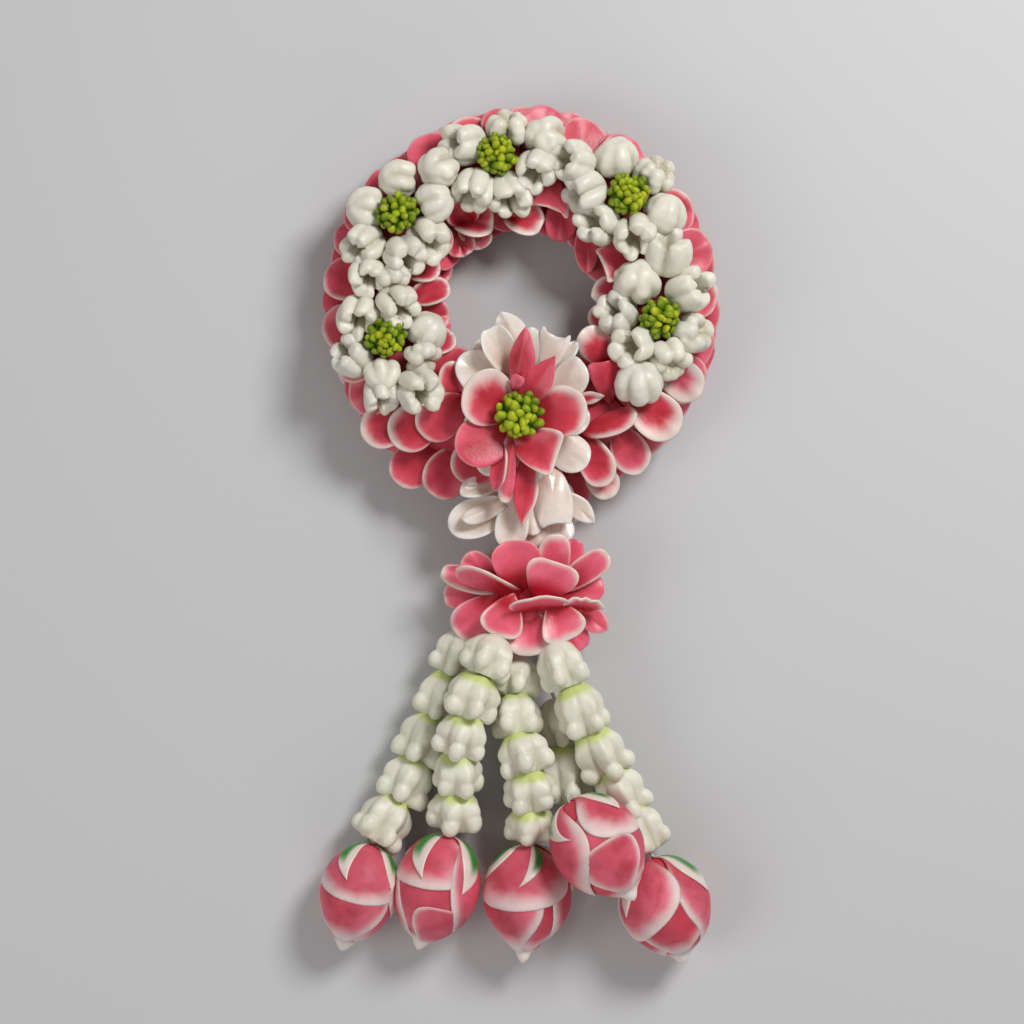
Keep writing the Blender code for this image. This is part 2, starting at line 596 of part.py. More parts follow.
def bud(index, parts, pink, green):
    top, tip, widest = BUDS[index]
    top, tip = Vector(top), Vector(tip)
    length = (tip - top).length
    shares = (0.02, 0.12, 0.30, 0.50, 0.70, 0.86, 0.95)
    profile = [(BUD_HOLE, 0.02 * length)]
    profile += [(bud_radius(share, widest), share * length) for share in shares]
    profile += [(0.3, length), (BUD_HOLE, 0.3 * length)]

    def wraps(radius, distance, angle):
        """Wrapped petals, each a low step that winds down the bud."""
        share = distance / length
        if radius < 2.0 or not 0.15 < share < 0.92:
            return radius, distance
        turn = (WRAPS * angle / (2 * math.pi) + WRAP_TURN * share) % 1.0
        return radius * (1.0 - WRAP_STEP + WRAP_STEP * turn), distance

    made = turned("bud_%d" % (index + 1), profile, 10, parts, pink, shape=wraps)
    made.matrix_world = place(top, tip - top, (0, 0, 1))
    made.data.shade_smooth()
    made.data.set_sharp_from_angle(angle=math.radians(35))

    offsets = (SEPAL_GAP, SEPAL_GAP + SEPAL_THICKNESS)
    rows = (0.02, 0.07, 0.14)
    inner = [(bud_radius(share, widest) + offsets[0], share * length - 0.4) for share in rows]
    outer = [(bud_radius(share, widest) + offsets[1], share * length - 0.9) for share in reversed(rows)]
    profile = [(SEPAL_HOLE, -0.8)] + inner + outer + [(SEPAL_HOLE, -1.8)]
    rim = rows[-1] * length - 1.0

    def points(radius, distance, angle):
        """Sepals: the rim runs down the bud into a point on each."""
        if distance < rim:
            return radius, distance
        lower = distance + SEPAL_POINT * (1.0 + math.cos(SEPALS * angle)) / 2
        drop = (lower - distance) / length
        return radius + bud_radius(rows[-1] + drop, widest) - bud_radius(rows[-1], widest), lower

    made = turned("bud_sepals_%d" % (index + 1), profile, 10, parts, green, shape=points)
    made.matrix_world = place(top, tip - top, (0, 0, 1))
    made.data.shade_smooth()
    made.data.set_sharp_from_angle(angle=math.radians(40))


def settle(parts):
    """Moves everything so that the box's bottom centre is the origin."""
    bpy.context.view_layer.update()
    corners = []
    for made in parts.objects:
        corners += [made.matrix_world @ vert.co for vert in made.data.vertices]
    low = Vector([min(c[i] for c in corners) for i in range(3)])
    high = Vector([max(c[i] for c in corners) for i in range(3)])
    shift = Vector(((low.x + high.x) / -2, (low.y + high.y) / -2, -low.z))
    for made in parts.objects:
        made.matrix_world = Matrix.Translation(shift) @ made.matrix_world


def build():
    clear_scene()
    parts = bpy.data.collections.new(GARLAND)
    pieces = bpy.data.collections.new("pieces_to_fuse")
    for collection in (parts, pieces):
        bpy.context.scene.collection.children.link(collection)
    pink = material("pink_petal", PINK, 0.35)
    white = material("white_petal", WHITE, 0.45)
    leaf = material("sepal_green", LEAF_GREEN, 0.45)
    knob = material("centre_green", YELLOW_GREEN, 0.4)
    thread = material("thread", THREAD_WHITE, 0.8)
    for index in range(SEGMENTS):
        ring_segment(index, parts, pieces, pink)
    ring_thread(parts, thread)
    for index, (radius, degrees, _) in enumerate(CLUSTERS):
        floret_cluster(index, parts, pieces, white)
        green_centre("green_centre_%d" % (index + 1), polar(radius, degrees), CORE_TOP_Z + 0.9,
                     CENTRE_SIZE, parts, pieces, knob)
    bloom(parts, pieces, pink, white, knob)
    neck(parts, pieces, white)
    collar(parts, pieces, pink)
    strands(parts, pieces, white, thread)
    for index in range(len(BUDS)):
        bud(index, parts, pink, leaf)
    bpy.data.collections.remove(pieces)
    settle(parts)


build()
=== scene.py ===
"""Dresses the flower garland's frame with waxy petals, florets, bells and buds, on a pale floor."""

import math

import bpy
import numpy as np
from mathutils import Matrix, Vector


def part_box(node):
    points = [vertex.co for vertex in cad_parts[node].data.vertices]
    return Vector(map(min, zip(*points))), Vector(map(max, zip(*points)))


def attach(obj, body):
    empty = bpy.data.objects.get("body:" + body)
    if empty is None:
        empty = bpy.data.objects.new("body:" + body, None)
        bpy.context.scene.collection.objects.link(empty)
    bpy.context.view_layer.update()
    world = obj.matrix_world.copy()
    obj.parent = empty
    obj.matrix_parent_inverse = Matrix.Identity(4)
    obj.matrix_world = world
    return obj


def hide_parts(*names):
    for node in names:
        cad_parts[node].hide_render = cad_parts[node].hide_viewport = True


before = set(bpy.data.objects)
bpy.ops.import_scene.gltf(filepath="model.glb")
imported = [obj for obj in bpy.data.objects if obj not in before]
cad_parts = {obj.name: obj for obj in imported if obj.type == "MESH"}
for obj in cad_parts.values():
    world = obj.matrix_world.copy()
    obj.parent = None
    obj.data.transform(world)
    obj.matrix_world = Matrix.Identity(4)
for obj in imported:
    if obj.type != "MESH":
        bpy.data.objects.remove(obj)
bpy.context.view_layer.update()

MM = 0.001
LENS = 130.0
SENSOR_WIDTH = 36.0
VIEW_WIDTH = 256.0
VIEW_DISTANCE = VIEW_WIDTH * LENS / SENSOR_WIDTH
LEVEL_Z = 15.0
IMAGE_SIDE = 1024
RING_PIXEL = (521.0, 304.5)
SCALE = VIEW_WIDTH / IMAGE_SIDE

ring_low, ring_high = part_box("ring_thread")
RING = np.array((Vector(ring_low) + Vector(ring_high)) / 2) / MM
RING[2] = 0
CAMERA = np.array((RING[0] + (IMAGE_SIDE / 2 - RING_PIXEL[0]) * SCALE,
                   RING[1] - (IMAGE_SIDE / 2 - RING_PIXEL[1]) * SCALE, LEVEL_Z + VIEW_DISTANCE))
LOWEST = 0.02
RING_RADIUS = 34.6
CORE_Z = 8.56
CORE_RADIUS = 8.7
CORE_BOTTOM = 0.05
UP = np.array((0.0, 0.0, 1.0))
TURN = 2 * math.pi
scene = bpy.context.scene
rng = np.random.default_rng(11)


def at(x, y, z):
    """A point at height z, in mm, that the camera sees at pixel x, y of the square picture."""
    reach = SCALE * (CAMERA[2] - z) / VIEW_DISTANCE
    return np.array((CAMERA[0] + (x - IMAGE_SIDE / 2) * reach, CAMERA[1] - (y - IMAGE_SIDE / 2) * reach, z))


def on_ring(radius, degrees, z):
    angle = math.radians(degrees)
    return RING + np.array((radius * math.cos(angle), radius * math.sin(angle), z))


def unit(vector):
    vector = np.array(vector, dtype=float)
    return vector / np.linalg.norm(vector)


def vary(low, high):
    return float(rng.uniform(low, high))


def any_turn():
    """A drawn angle; its upper end is a whole turn in round numbers."""
    return vary(0, 6.28)


def smooth(low, high, value):
    share = np.clip((value - low) / (high - low), 0, 1)
    return share * share * (3 - 2 * share)


def through(points, count):
    """Evenly numbered points on a smooth curve through the given ones."""
    points = np.array(points, dtype=float)
    ends = np.vstack((points[:1], points, points[-1:]))
    place = np.linspace(0, len(points) - 1, count)
    index = np.minimum(place.astype(int), len(points) - 2)
    t = (place - index)[:, None]
    a, b, c, d = (ends[index + k] for k in range(4))
    square, cube = 2 * a - 5 * b + 4 * c - d, 3 * b - a - 3 * c + d
    return 0.5 * (2 * b + (c - a) * t + square * t ** 2 + cube * t ** 3)


WOBBLE = [(rng.normal(0, 0.55, 3), rng.uniform(0, 6.28), rng.normal(0, 1, 3)) for _ in range(7)]


def wobble(points, size):
    """Shifts points a little, unevenly but smoothly, as hands leave them."""
    moved = points.copy()
    for wave, phase, push in WOBBLE:
        moved += np.sin(points @ wave + phase)[:, None] * push * size * 0.4
    return moved


def add_object(name, data):
    made = bpy.data.objects.new(name, data)
    scene.collection.objects.link(made)
    return made


class Heap:
    """Gathers the surfaces of one piece with their rim, deep and tint values, then makes the mesh."""

    def __init__(self):
        self.points, self.faces, self.paint, self.count = [], [], [], 0

    def add(self, points, faces, *paint):
        self.points.append(points)
        self.faces += [face + self.count for face in faces]
        self.paint.append(np.column_stack([np.broadcast_to(value, len(points)) for value in paint]))
        self.count += len(points)

    def make(self, name, material, nodes, slot, wobbly=0.1):
        points = wobble(np.vstack(self.points), wobbly)
        points[:, 2] = np.maximum(points[:, 2], LOWEST)
        points *= MM
        mesh = bpy.data.meshes.new(name)
        mesh.from_pydata(points.tolist(), [], [face for group in self.faces for face in group.tolist()])
        mesh.shade_smooth()
        for value, numbers in zip(("rim", "deep", "tint"), np.vstack(self.paint).T):
            layer = mesh.attributes.new(value, "FLOAT", "POINT")
            layer.data.foreach_set("value", np.ascontiguousarray(numbers, dtype=np.float32))
        mesh.materials.append(material)
        piece = add_object(name, mesh)
        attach(piece, "root")
        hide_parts(*nodes)


RINGS = np.array((0.2, 0.38, 0.54, 0.68, 0.79, 0.87, 0.93, 0.97, 1.0))


def sheet(heap, surface, outline, thickness, sides=40, **paint):
    """A closed thin body with a soft edge: surface(u, v) gives points, outline(angle) its edge in u and v.

    The angle runs from the root, over the side of u > 0, to the tip and back.
    """
    angle = np.linspace(0, TURN, sides, endpoint=False)
    edge_u, edge_v = outline(angle)
    u = np.concatenate(([0], np.outer(RINGS, edge_u).ravel()))
    v = np.concatenate(([0.5], (0.5 + np.outer(RINGS, edge_v - 0.5)).ravel()))
    rho = np.concatenate(([0], np.repeat(RINGS, sides)))
    around = np.concatenate(([0], np.tile(angle, len(RINGS))))
    step = 0.01
    middle = surface(u, v)
    across, along = surface(u + step, v) - surface(u - step, v), surface(u, v + step) - surface(u, v - step)
    normal = np.cross(across, along)
    normal /= np.linalg.norm(normal, axis=1)[:, None] + 1e-12
    half = 0.5 * thickness * np.sqrt(np.clip(1 - rho ** 9, 0, 1))[:, None]
    inner = len(u) - sides
    points = np.vstack((middle + normal * half, (middle - normal * half)[:inner]))
    front = 1 + np.arange(len(RINGS) * sides).reshape(len(RINGS), sides)
    back = front + len(u)
    back[-1] = front[-1]
    faces = []
    for rows, centre, flip in ((front, 0, False), (back, len(u), True)):
        following = np.roll(rows, -1, axis=1)
        fan = np.column_stack((np.full(sides, centre), rows[0], following[0]))
        quads = np.stack((rows[:-1], rows[1:], following[1:], following[:-1]), axis=-1).reshape(-1, 4)
        faces += [fan[:, ::-1], quads[:, ::-1]] if flip else [fan, quads]
    values = [np.concatenate((value, value[:inner])) for value in sheet_paint(u, v, rho, around, **paint)]
    heap.add(points, faces, *values)


def sheet_paint(u, v, rho, around, rim_width=0.2, rim_bias=0, rim_turn=180, rim_strength=1,
                root_bare=True, bleach=None, painted=None, deep=1, heart=0.42, tint=0, two_tone=0):
    """Rim, deep and tint values of a sheet's points.

    rim_width is the rim's share of the radius, wider towards rim_turn by rim_bias and held to rim_strength.
    root_bare keeps it off the root, bleach paints it along v, and painted(u, v) takes its place. deep
    darkens the root and heart the middle, partly as the petals' deeper colour and partly as painted shade in
    cups, creases and overlaps. The painted side light lightens the side of u > 0 as painted light or sheen,
    and darkens it as painted shade where it is negative.
    """
    wide = rim_width * (1 + rim_bias * np.cos(around - math.radians(rim_turn)))
    uneven = 0.1 * np.sin(around * 5 + 40 * rim_width)
    wide = wide * (1 + uneven + 0.05 * np.sin(around * 13 + 90 * rim_width))
    held = smooth(0.04, 0.3, v) if root_bare else 1
    wide = np.clip(wide, 0.002, 0.46)
    rim = smooth(1 - 1.75 * wide, 1 - 0.2 * wide, rho) * held * np.clip(wide * 7, 0, rim_strength)
    if bleach:
        rim = np.maximum(rim, smooth(bleach[0], bleach[1], v))
    if painted:
        rim = painted(u, v)
    # Darker towards the root and in the middle: partly the petals' deeper colour and partly painted shade in
    # cups, creases and overlaps.
    depth = deep * (1 - smooth(0, 0.78, np.sqrt(np.clip(v, 0, None) ** 2 + 0.1 * u * u)))
    depth = np.maximum(depth, heart * (1 - smooth(0.2, 0.92, rho)))
    streaks = 0.5 + 0.5 * np.sin(around * 9 + 70 * rim_width) * np.sin(around * 4 + 1)
    shade = tint + 0.2 * streaks * smooth(0.3, 0.9, rho) + 0.22 * smooth(0.35, 1, rho)
    # The side of u > 0 gets painted light, or painted shade where the value is negative, as on the lit or
    # shaded facet of a fold.
    return rim, depth, shade + two_tone * smooth(-0.12, 0.12, u)


def petal_outline(taper=0.35, point=0, square=0, notch=0, full=0):
    """A rounded outline, narrower at the root by taper, with a pointed, squared or notched tip."""
    def outline(angle):
        across, along = np.sin(angle), (1 - np.cos(angle)) / 2
        power = np.clip(1 - full + point * 1.6 * along ** 2 - square * along, 0.35, 3)
        u = np.sign(across) * np.abs(across) ** power * (1 - taper * (1 - along) ** 1.15)
        v = along + point * 0.1 * smooth(0.7, 1, along)
        v = v - notch * np.exp(-(across / 0.28) ** 2) * smooth(0.6, 1, along)
        return u, v
    return outline


PETAL_THICKNESS = 0.85


def petal(heap, root, tip, width, facing=UP, cup=0, roll=0, curl=0, fold=0, wave=0, waves=4,
          phase=0, skew=0, taper=0.35, point=0, square=0, notch=0, full=0, **paint):
    """A petal from root to tip that faces about one way.

    cup lifts its sides, roll bends it across, curl bends it along, fold creases it, wave ruffles its rim
    and skew leans its tip to one side.
    """
    table = np.linspace(-0.1, 1.3, 141)
    bend = curl * np.clip(table, 0, None) ** 1.4
    gain = table[1] - table[0]
    run_y = np.cumsum(np.cos(bend)) * gain
    run_z = np.cumsum(np.sin(bend)) * gain
    run_y -= np.interp(0, table, run_y)
    run_z -= np.interp(0, table, run_z)
    end_y, end_z = np.interp(1, table, run_y), np.interp(1, table, run_z)
    length = np.linalg.norm(tip - root) / math.hypot(end_y, end_z)
    pitch = math.atan2(end_z, end_y)
    along = unit(tip - root)
    across = unit(np.cross(along, facing))
    outward = np.cross(across, along)
    turn = roll or 1e-3

    def surface(u, v):
        x = width / 2 * np.sin(turn * u) / turn
        z = width / 2 * (1 - np.cos(turn * u)) / turn
        z = z + cup * u * u + fold * (np.sqrt(u * u + 0.02) - 0.14) * np.clip(v + 0.2, 0, 1)
        reach = u * u + 4 * (v - 0.5) ** 2
        z = z + wave * reach * np.sin(waves * np.arctan2(u, v - 0.5) + phase)
        x = x + skew * np.clip(v, 0, None) ** 2 * width / 2
        leaning = np.interp(v, table, bend)
        y = length * np.interp(v, table, run_y) - z * np.sin(leaning)
        z = length * np.interp(v, table, run_z) + z * np.cos(leaning)
        y, z = y * math.cos(pitch) + z * math.sin(pitch), z * math.cos(pitch) - y * math.sin(pitch)
        return root + x[:, None] * across + y[:, None] * along + z[:, None] * outward

    sheet(heap, surface, petal_outline(taper, point, square, notch, full), PETAL_THICKNESS, **paint)


def row(x, y, z, tip_x, tip_y, tip_z, width, *rim, **form):
    """A petal of a table: pixel and height of root and tip, width, then the rim's width, bias and turn."""
    form.update(zip(("rim_width", "rim_bias", "rim_turn"), rim))
    return at(x, y, z), at(tip_x, tip_y, tip_z), width, form


def petals(heap, rows, tints=None, **usual):
    """Adds a table's petals, waved each in its own way; what a row says goes before what is usual."""
    for root, tip, width, form in rows:
        drawn = {"phase": vary(0, 6)}
        if tints:
            drawn["tint"] = vary(0, tints)
        petal(heap, root, tip, width, **{**usual, **drawn, **form})


def skin(grid, first, last):
    """Faces over rows that go round: a fan to the first point, quads, and a fan to the last point."""
    following = np.roll(grid, -1, axis=1)
    starts, ends = (np.full(grid.shape[1], point) for point in (first, last))
    return (np.column_stack((starts, following[0], grid[0])),
            np.stack((grid[:-1], following[:-1], following[1:], grid[1:]), axis=-1).reshape(-1, 4),
            np.column_stack((ends, grid[-1], following[-1])))


def lathe(heap, shape, origin, axis, around, rows, paint):
    """A closed body round an axis: shape(angle, share) gives its radius and height, paint its colours."""
    axis = unit(axis)
    side = np.cross(axis, UP)
    side = unit(side) if np.linalg.norm(side) > 1e-6 else np.array((1, 0, 0))
    other = np.cross(axis, side)
    angle = np.linspace(0, TURN, around, endpoint=False)
    share = np.linspace(0, 1, rows)
    grid_angle, grid_share = np.meshgrid(angle, share[1:-1])
    grid_angle = np.concatenate(([0], grid_angle.ravel(), [0]))
    grid_share = np.concatenate(([0], grid_share.ravel(), [1]))
    radius, height = shape(grid_angle, grid_share)
    radius[0] = radius[-1] = 0
    points = (np.array(origin) + height[:, None] * axis + (radius * np.cos(grid_angle))[:, None] * side
              + (radius * np.sin(grid_angle))[:, None] * other)
    grid = 1 + np.arange((rows - 2) * around).reshape(rows - 2, around)
    heap.add(points, skin(grid, 0, len(points) - 1), *paint(grid_angle, grid_share))


def ellipsoid(heap, centre, radii, around, rows, paint):
    """An upright ellipsoid."""
    def shape(angle, share):
        return radii[0] * np.sin(np.pi * share), -radii[1] * np.cos(np.pi * share)
    lathe(heap, shape, centre, UP, around, rows, lambda angle, share: paint)


# Materials
def new_material(name):
    made = bpy.data.materials.new(name)
    made.use_nodes = True
    return made, made.node_tree, made.node_tree.nodes["Principled BSDF"]


def connect(tree, socket, value):
    """Links an input to an output, or sets it to a plain value."""
    if isinstance(value, bpy.types.NodeSocket):
        tree.links.new(value, socket)
    else:
        socket.default_value = value


def feed(tree, node, **inputs):
    """Connects inputs by name, with a low line for a space."""
    for name, value in inputs.items():
        connect(tree, node.inputs[name.replace("_", " ")], value)


def add_node(tree, kind, **inputs):
    node = tree.nodes.new("ShaderNode" + kind)
    feed(tree, node, **inputs)
    return node


def waxy(name, paint_colours, roughness=0.33, glow=0.25, radius=(1, 0.35, 0.25), clouds=0.3, shine=0.5):
    """A waxy, slightly see-through paste in base, rim, deep and tint colours, clouded with the deep one."""
    made, tree, shader = new_material(name)
    base, rim, deep, tint = ((*colour, 1) for colour in paint_colours)

    def mix(first, second, factor):
        node = add_node(tree, "Mix")
        node.data_type = "RGBA"
        node.inputs["Factor"].default_value = 0
        feed(tree, node, Factor=factor)
        for socket, value in zip([item for item in node.inputs if item.type == "RGBA"], (first, second)):
            connect(tree, socket, value)
        return [item for item in node.outputs if item.type == "RGBA"][0]

    def value_of(attribute):
        node = add_node(tree, "Attribute")
        node.attribute_name = attribute
        return node.outputs["Fac"]

    def noise(scale, detail, distortion=0):
        node = add_node(tree, "TexNoise", Vector=place, Scale=scale, Detail=detail, Distortion=distortion)
        return node.outputs["Fac"]

    def spread(value, **limits):
        return add_node(tree, "MapRange", Value=value, **limits).outputs["Result"]

    place = add_node(tree, "TexCoord").outputs["Object"]
    cloudy, broad, fine = noise(260, 3), noise(150, 2, 0.6), noise(1400, 4)
    colour = mix(base, tint, value_of("tint"))
    colour = mix(colour, deep, spread(broad, From_Min=0.42, From_Max=0.7, To_Max=clouds))
    # The deep value mixes in the deep colour: partly the paste's deeper tone and partly painted shade in
    # creases, hollows and overlaps.
    colour = mix(colour, deep, value_of("deep"))
    colour = mix(colour, rim, value_of("rim"))
    mottled = spread(cloudy, From_Min=0.3, From_Max=0.7, To_Min=0.93, To_Max=1.07)
    tone = add_node(tree, "HueSaturation", Value=mottled, Color=colour)
    grain = add_node(tree, "Bump", Strength=0.12, Distance=0.0004, Height=fine)
    gloss = spread(cloudy, To_Min=roughness - 0.06, To_Max=roughness + 0.08)
    feed(tree, shader, Base_Color=tone.outputs["Color"], Normal=grain.outputs["Normal"], Roughness=gloss,
         Subsurface_Weight=glow, Subsurface_Radius=radius, Subsurface_Scale=0.0022,
         Specular_IOR_Level=shine)
    return made


CREAM = (0.8, 0.66, 0.6)
PINK = waxy("pink_paste", ((0.72, 0.066, 0.108), CREAM, (0.35, 0.004, 0.01), (0.86, 0.18, 0.255)),
            clouds=0.5, shine=0.4)
ROSE = waxy("bright_pink_paste", ((0.88, 0.092, 0.17), CREAM, (0.48, 0.012, 0.028), (0.92, 0.2, 0.28)))
# On white paste the deep colour is painted shade: brownish at petal roots and inside cups.
WHITE = waxy("white_paste", ((0.86, 0.78, 0.7), (0.88, 0.82, 0.76), (0.62, 0.44, 0.33), (0.86, 0.66, 0.57)),
             0.22, 0.35, (1, 0.6, 0.45), clouds=0.15)
# On florets the deep colour is painted shade in seams and hollows.
FLORET = waxy("floret_paste", ((0.72, 0.7, 0.62), (0.46, 0.33, 0.19), (0.52, 0.46, 0.33), (0.8, 0.76, 0.64)),
              0.4, 0.25, (1, 0.85, 0.6), clouds=0.06)
# On bells the deep colour is painted shade in the grooves and the hollow.
BELL = waxy("bell_paste", ((0.78, 0.765, 0.66), (0.52, 0.62, 0.13), (0.52, 0.47, 0.28), (0.74, 0.73, 0.59)),
            0.42, 0.28, (1, 0.9, 0.6), clouds=0.06)
LEAF = waxy("sepal_paste", ((0.04, 0.27, 0.045), CREAM, (0.02, 0.15, 0.02), (0.1, 0.36, 0.07)), glow=0.15)
# The knobs' deep green is partly their colour and partly painted shade in the clefts.
KNOB = waxy("knob_paste", ((0.53, 0.53, 0.012), (0.66, 0.6, 0.02), (0.02, 0.13, 0.004), (0.22, 0.42, 0.012)),
            0.4, 0.12, clouds=0.1, shine=0.3)
BUD = waxy("bud_paste", ((0.74, 0.08, 0.128), (0.88, 0.76, 0.71), (0.38, 0.006, 0.013), (0.9, 0.205, 0.29)),
           0.48, clouds=0.45, shine=0.3)


def thread_material():
    made, tree, shader = new_material("twisted_thread")
    place = add_node(tree, "TexCoord").outputs["Object"]
    bands = add_node(tree, "TexWave", Vector=place, Scale=700, Distortion=2).outputs["Fac"]
    ramp = add_node(tree, "ValToRGB", Fac=bands)
    ramp.color_ramp.elements[0].color = (0.6, 0.57, 0.5, 1)
    ramp.color_ramp.elements[1].color = (0.82, 0.8, 0.74, 1)
    bump = add_node(tree, "Bump", Strength=0.5, Distance=0.0002, Height=bands)
    feed(tree, shader, Base_Color=ramp.outputs["Color"], Normal=bump.outputs["Normal"], Roughness=0.75)
    return made


# The ring
def core_piece(heap, start, end):
    """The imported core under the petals, a closed stretch of a ring."""
    steps, sides = 14, 24
    angle = np.radians(np.linspace(start, end, steps))
    turn = np.linspace(0, TURN, sides, endpoint=False)
    radius = RING_RADIUS + CORE_RADIUS * np.cos(turn)
    height = np.maximum(CORE_Z + CORE_RADIUS * np.sin(turn), CORE_BOTTOM)
    rows = [np.column_stack((RING[0] + radius * math.cos(a), RING[1] + radius * math.sin(a), height))
            for a in angle]
    centres = [on_ring(RING_RADIUS, degrees, CORE_Z) for degrees in (start, end)]
    grid = np.arange(steps * sides).reshape(steps, sides)
    first, quads, last = skin(grid, steps * sides, steps * sides + 1)
    heap.add(np.vstack(rows + centres), [faces[:, ::-1] for faces in (quads, first, last)], 0, 0.35, 0.2)


def ring_row(heaps, angles, root, tip, width, tilt, inside_out=False, **form):
    """A row of ring petals, each a bit different, and tilted about its length to overlap the next."""
    for degrees in angles:
        turn = degrees + vary(-1.2, 1.2)
        a = on_ring(root[0], turn, root[1])
        b = on_ring(tip[0] + vary(-1, 0.4), turn + vary(-1.5, 1.5), tip[1] + vary(-0.5, 0.5))
        side = unit(np.cross(UP, b - a))
        facing = UP + side * math.tan(math.radians(tilt + vary(-5, 5)))
        drawn = {"cup": vary(0.3, 1.1), "rim_width": vary(0.02, 0.09)}
        if inside_out:
            facing = -facing
        petal(heaps[int(degrees % 360 // 45)], a, b, width * vary(0.92, 1.08), facing, wave=vary(0.1, 0.35),
              phase=any_turn(), rim_bias=vary(0.3, 0.8), rim_turn=vary(110, 250),
              tint=vary(0, 0.4) + 0.3 * max(0, math.cos(math.radians(turn))), **{**drawn, **form})


TOP_ANGLES = (2.6, 17.8, 31, 44, 56, 67.5, 83, 95, 107.4, 121.6, 139, 151, 158.9, 171, 187, 199, 210.5, 335,
              348)
beside_neck = [a for a in range(0, 360, 15) if abs(a - 270) > 14]
heaps = [Heap() for _ in range(8)]
GAP = 0.34
for index, heap in enumerate(heaps):
    core_piece(heap, index * 45 + GAP, index * 45 + 45 - GAP)

# Rows of ring petals: angles, radius and height of root and tip, width and tilt
ring_row(heaps, beside_neck, (37.5, 3.2), (48.8, 3.6), 14.5, 12, True, cup=0.5, curl=0.25, sides=32)
ring_row(heaps, [a + 6 for a in beside_neck], (39.5, 6.8), (49.4, 5.8), 15, -14, curl=0.2, sides=32)
ring_row(heaps, [a + 13 for a in beside_neck if a != 255], (39, 11.5), (50, 9.2), 14.5, -14, curl=-0.2)
ring_row(heaps, TOP_ANGLES, (36, 15.6), (50, 12.6), 14.2, -13, curl=-0.15)
ring_row(heaps, range(4, 364, 24), (30.5, 3.4), (21.5, 3.4), 11.5, -12, True, cup=0.6, curl=0.2, sides=32)
ring_row(heaps, range(14, 374, 24), (29, 7), (19.6, 6.6), 12, 16, curl=0.3, sides=32)
ring_row(heaps, range(2, 362, 24), (28, 11), (19.2, 10.2), 12, 16, curl=-0.3, point=0.3)

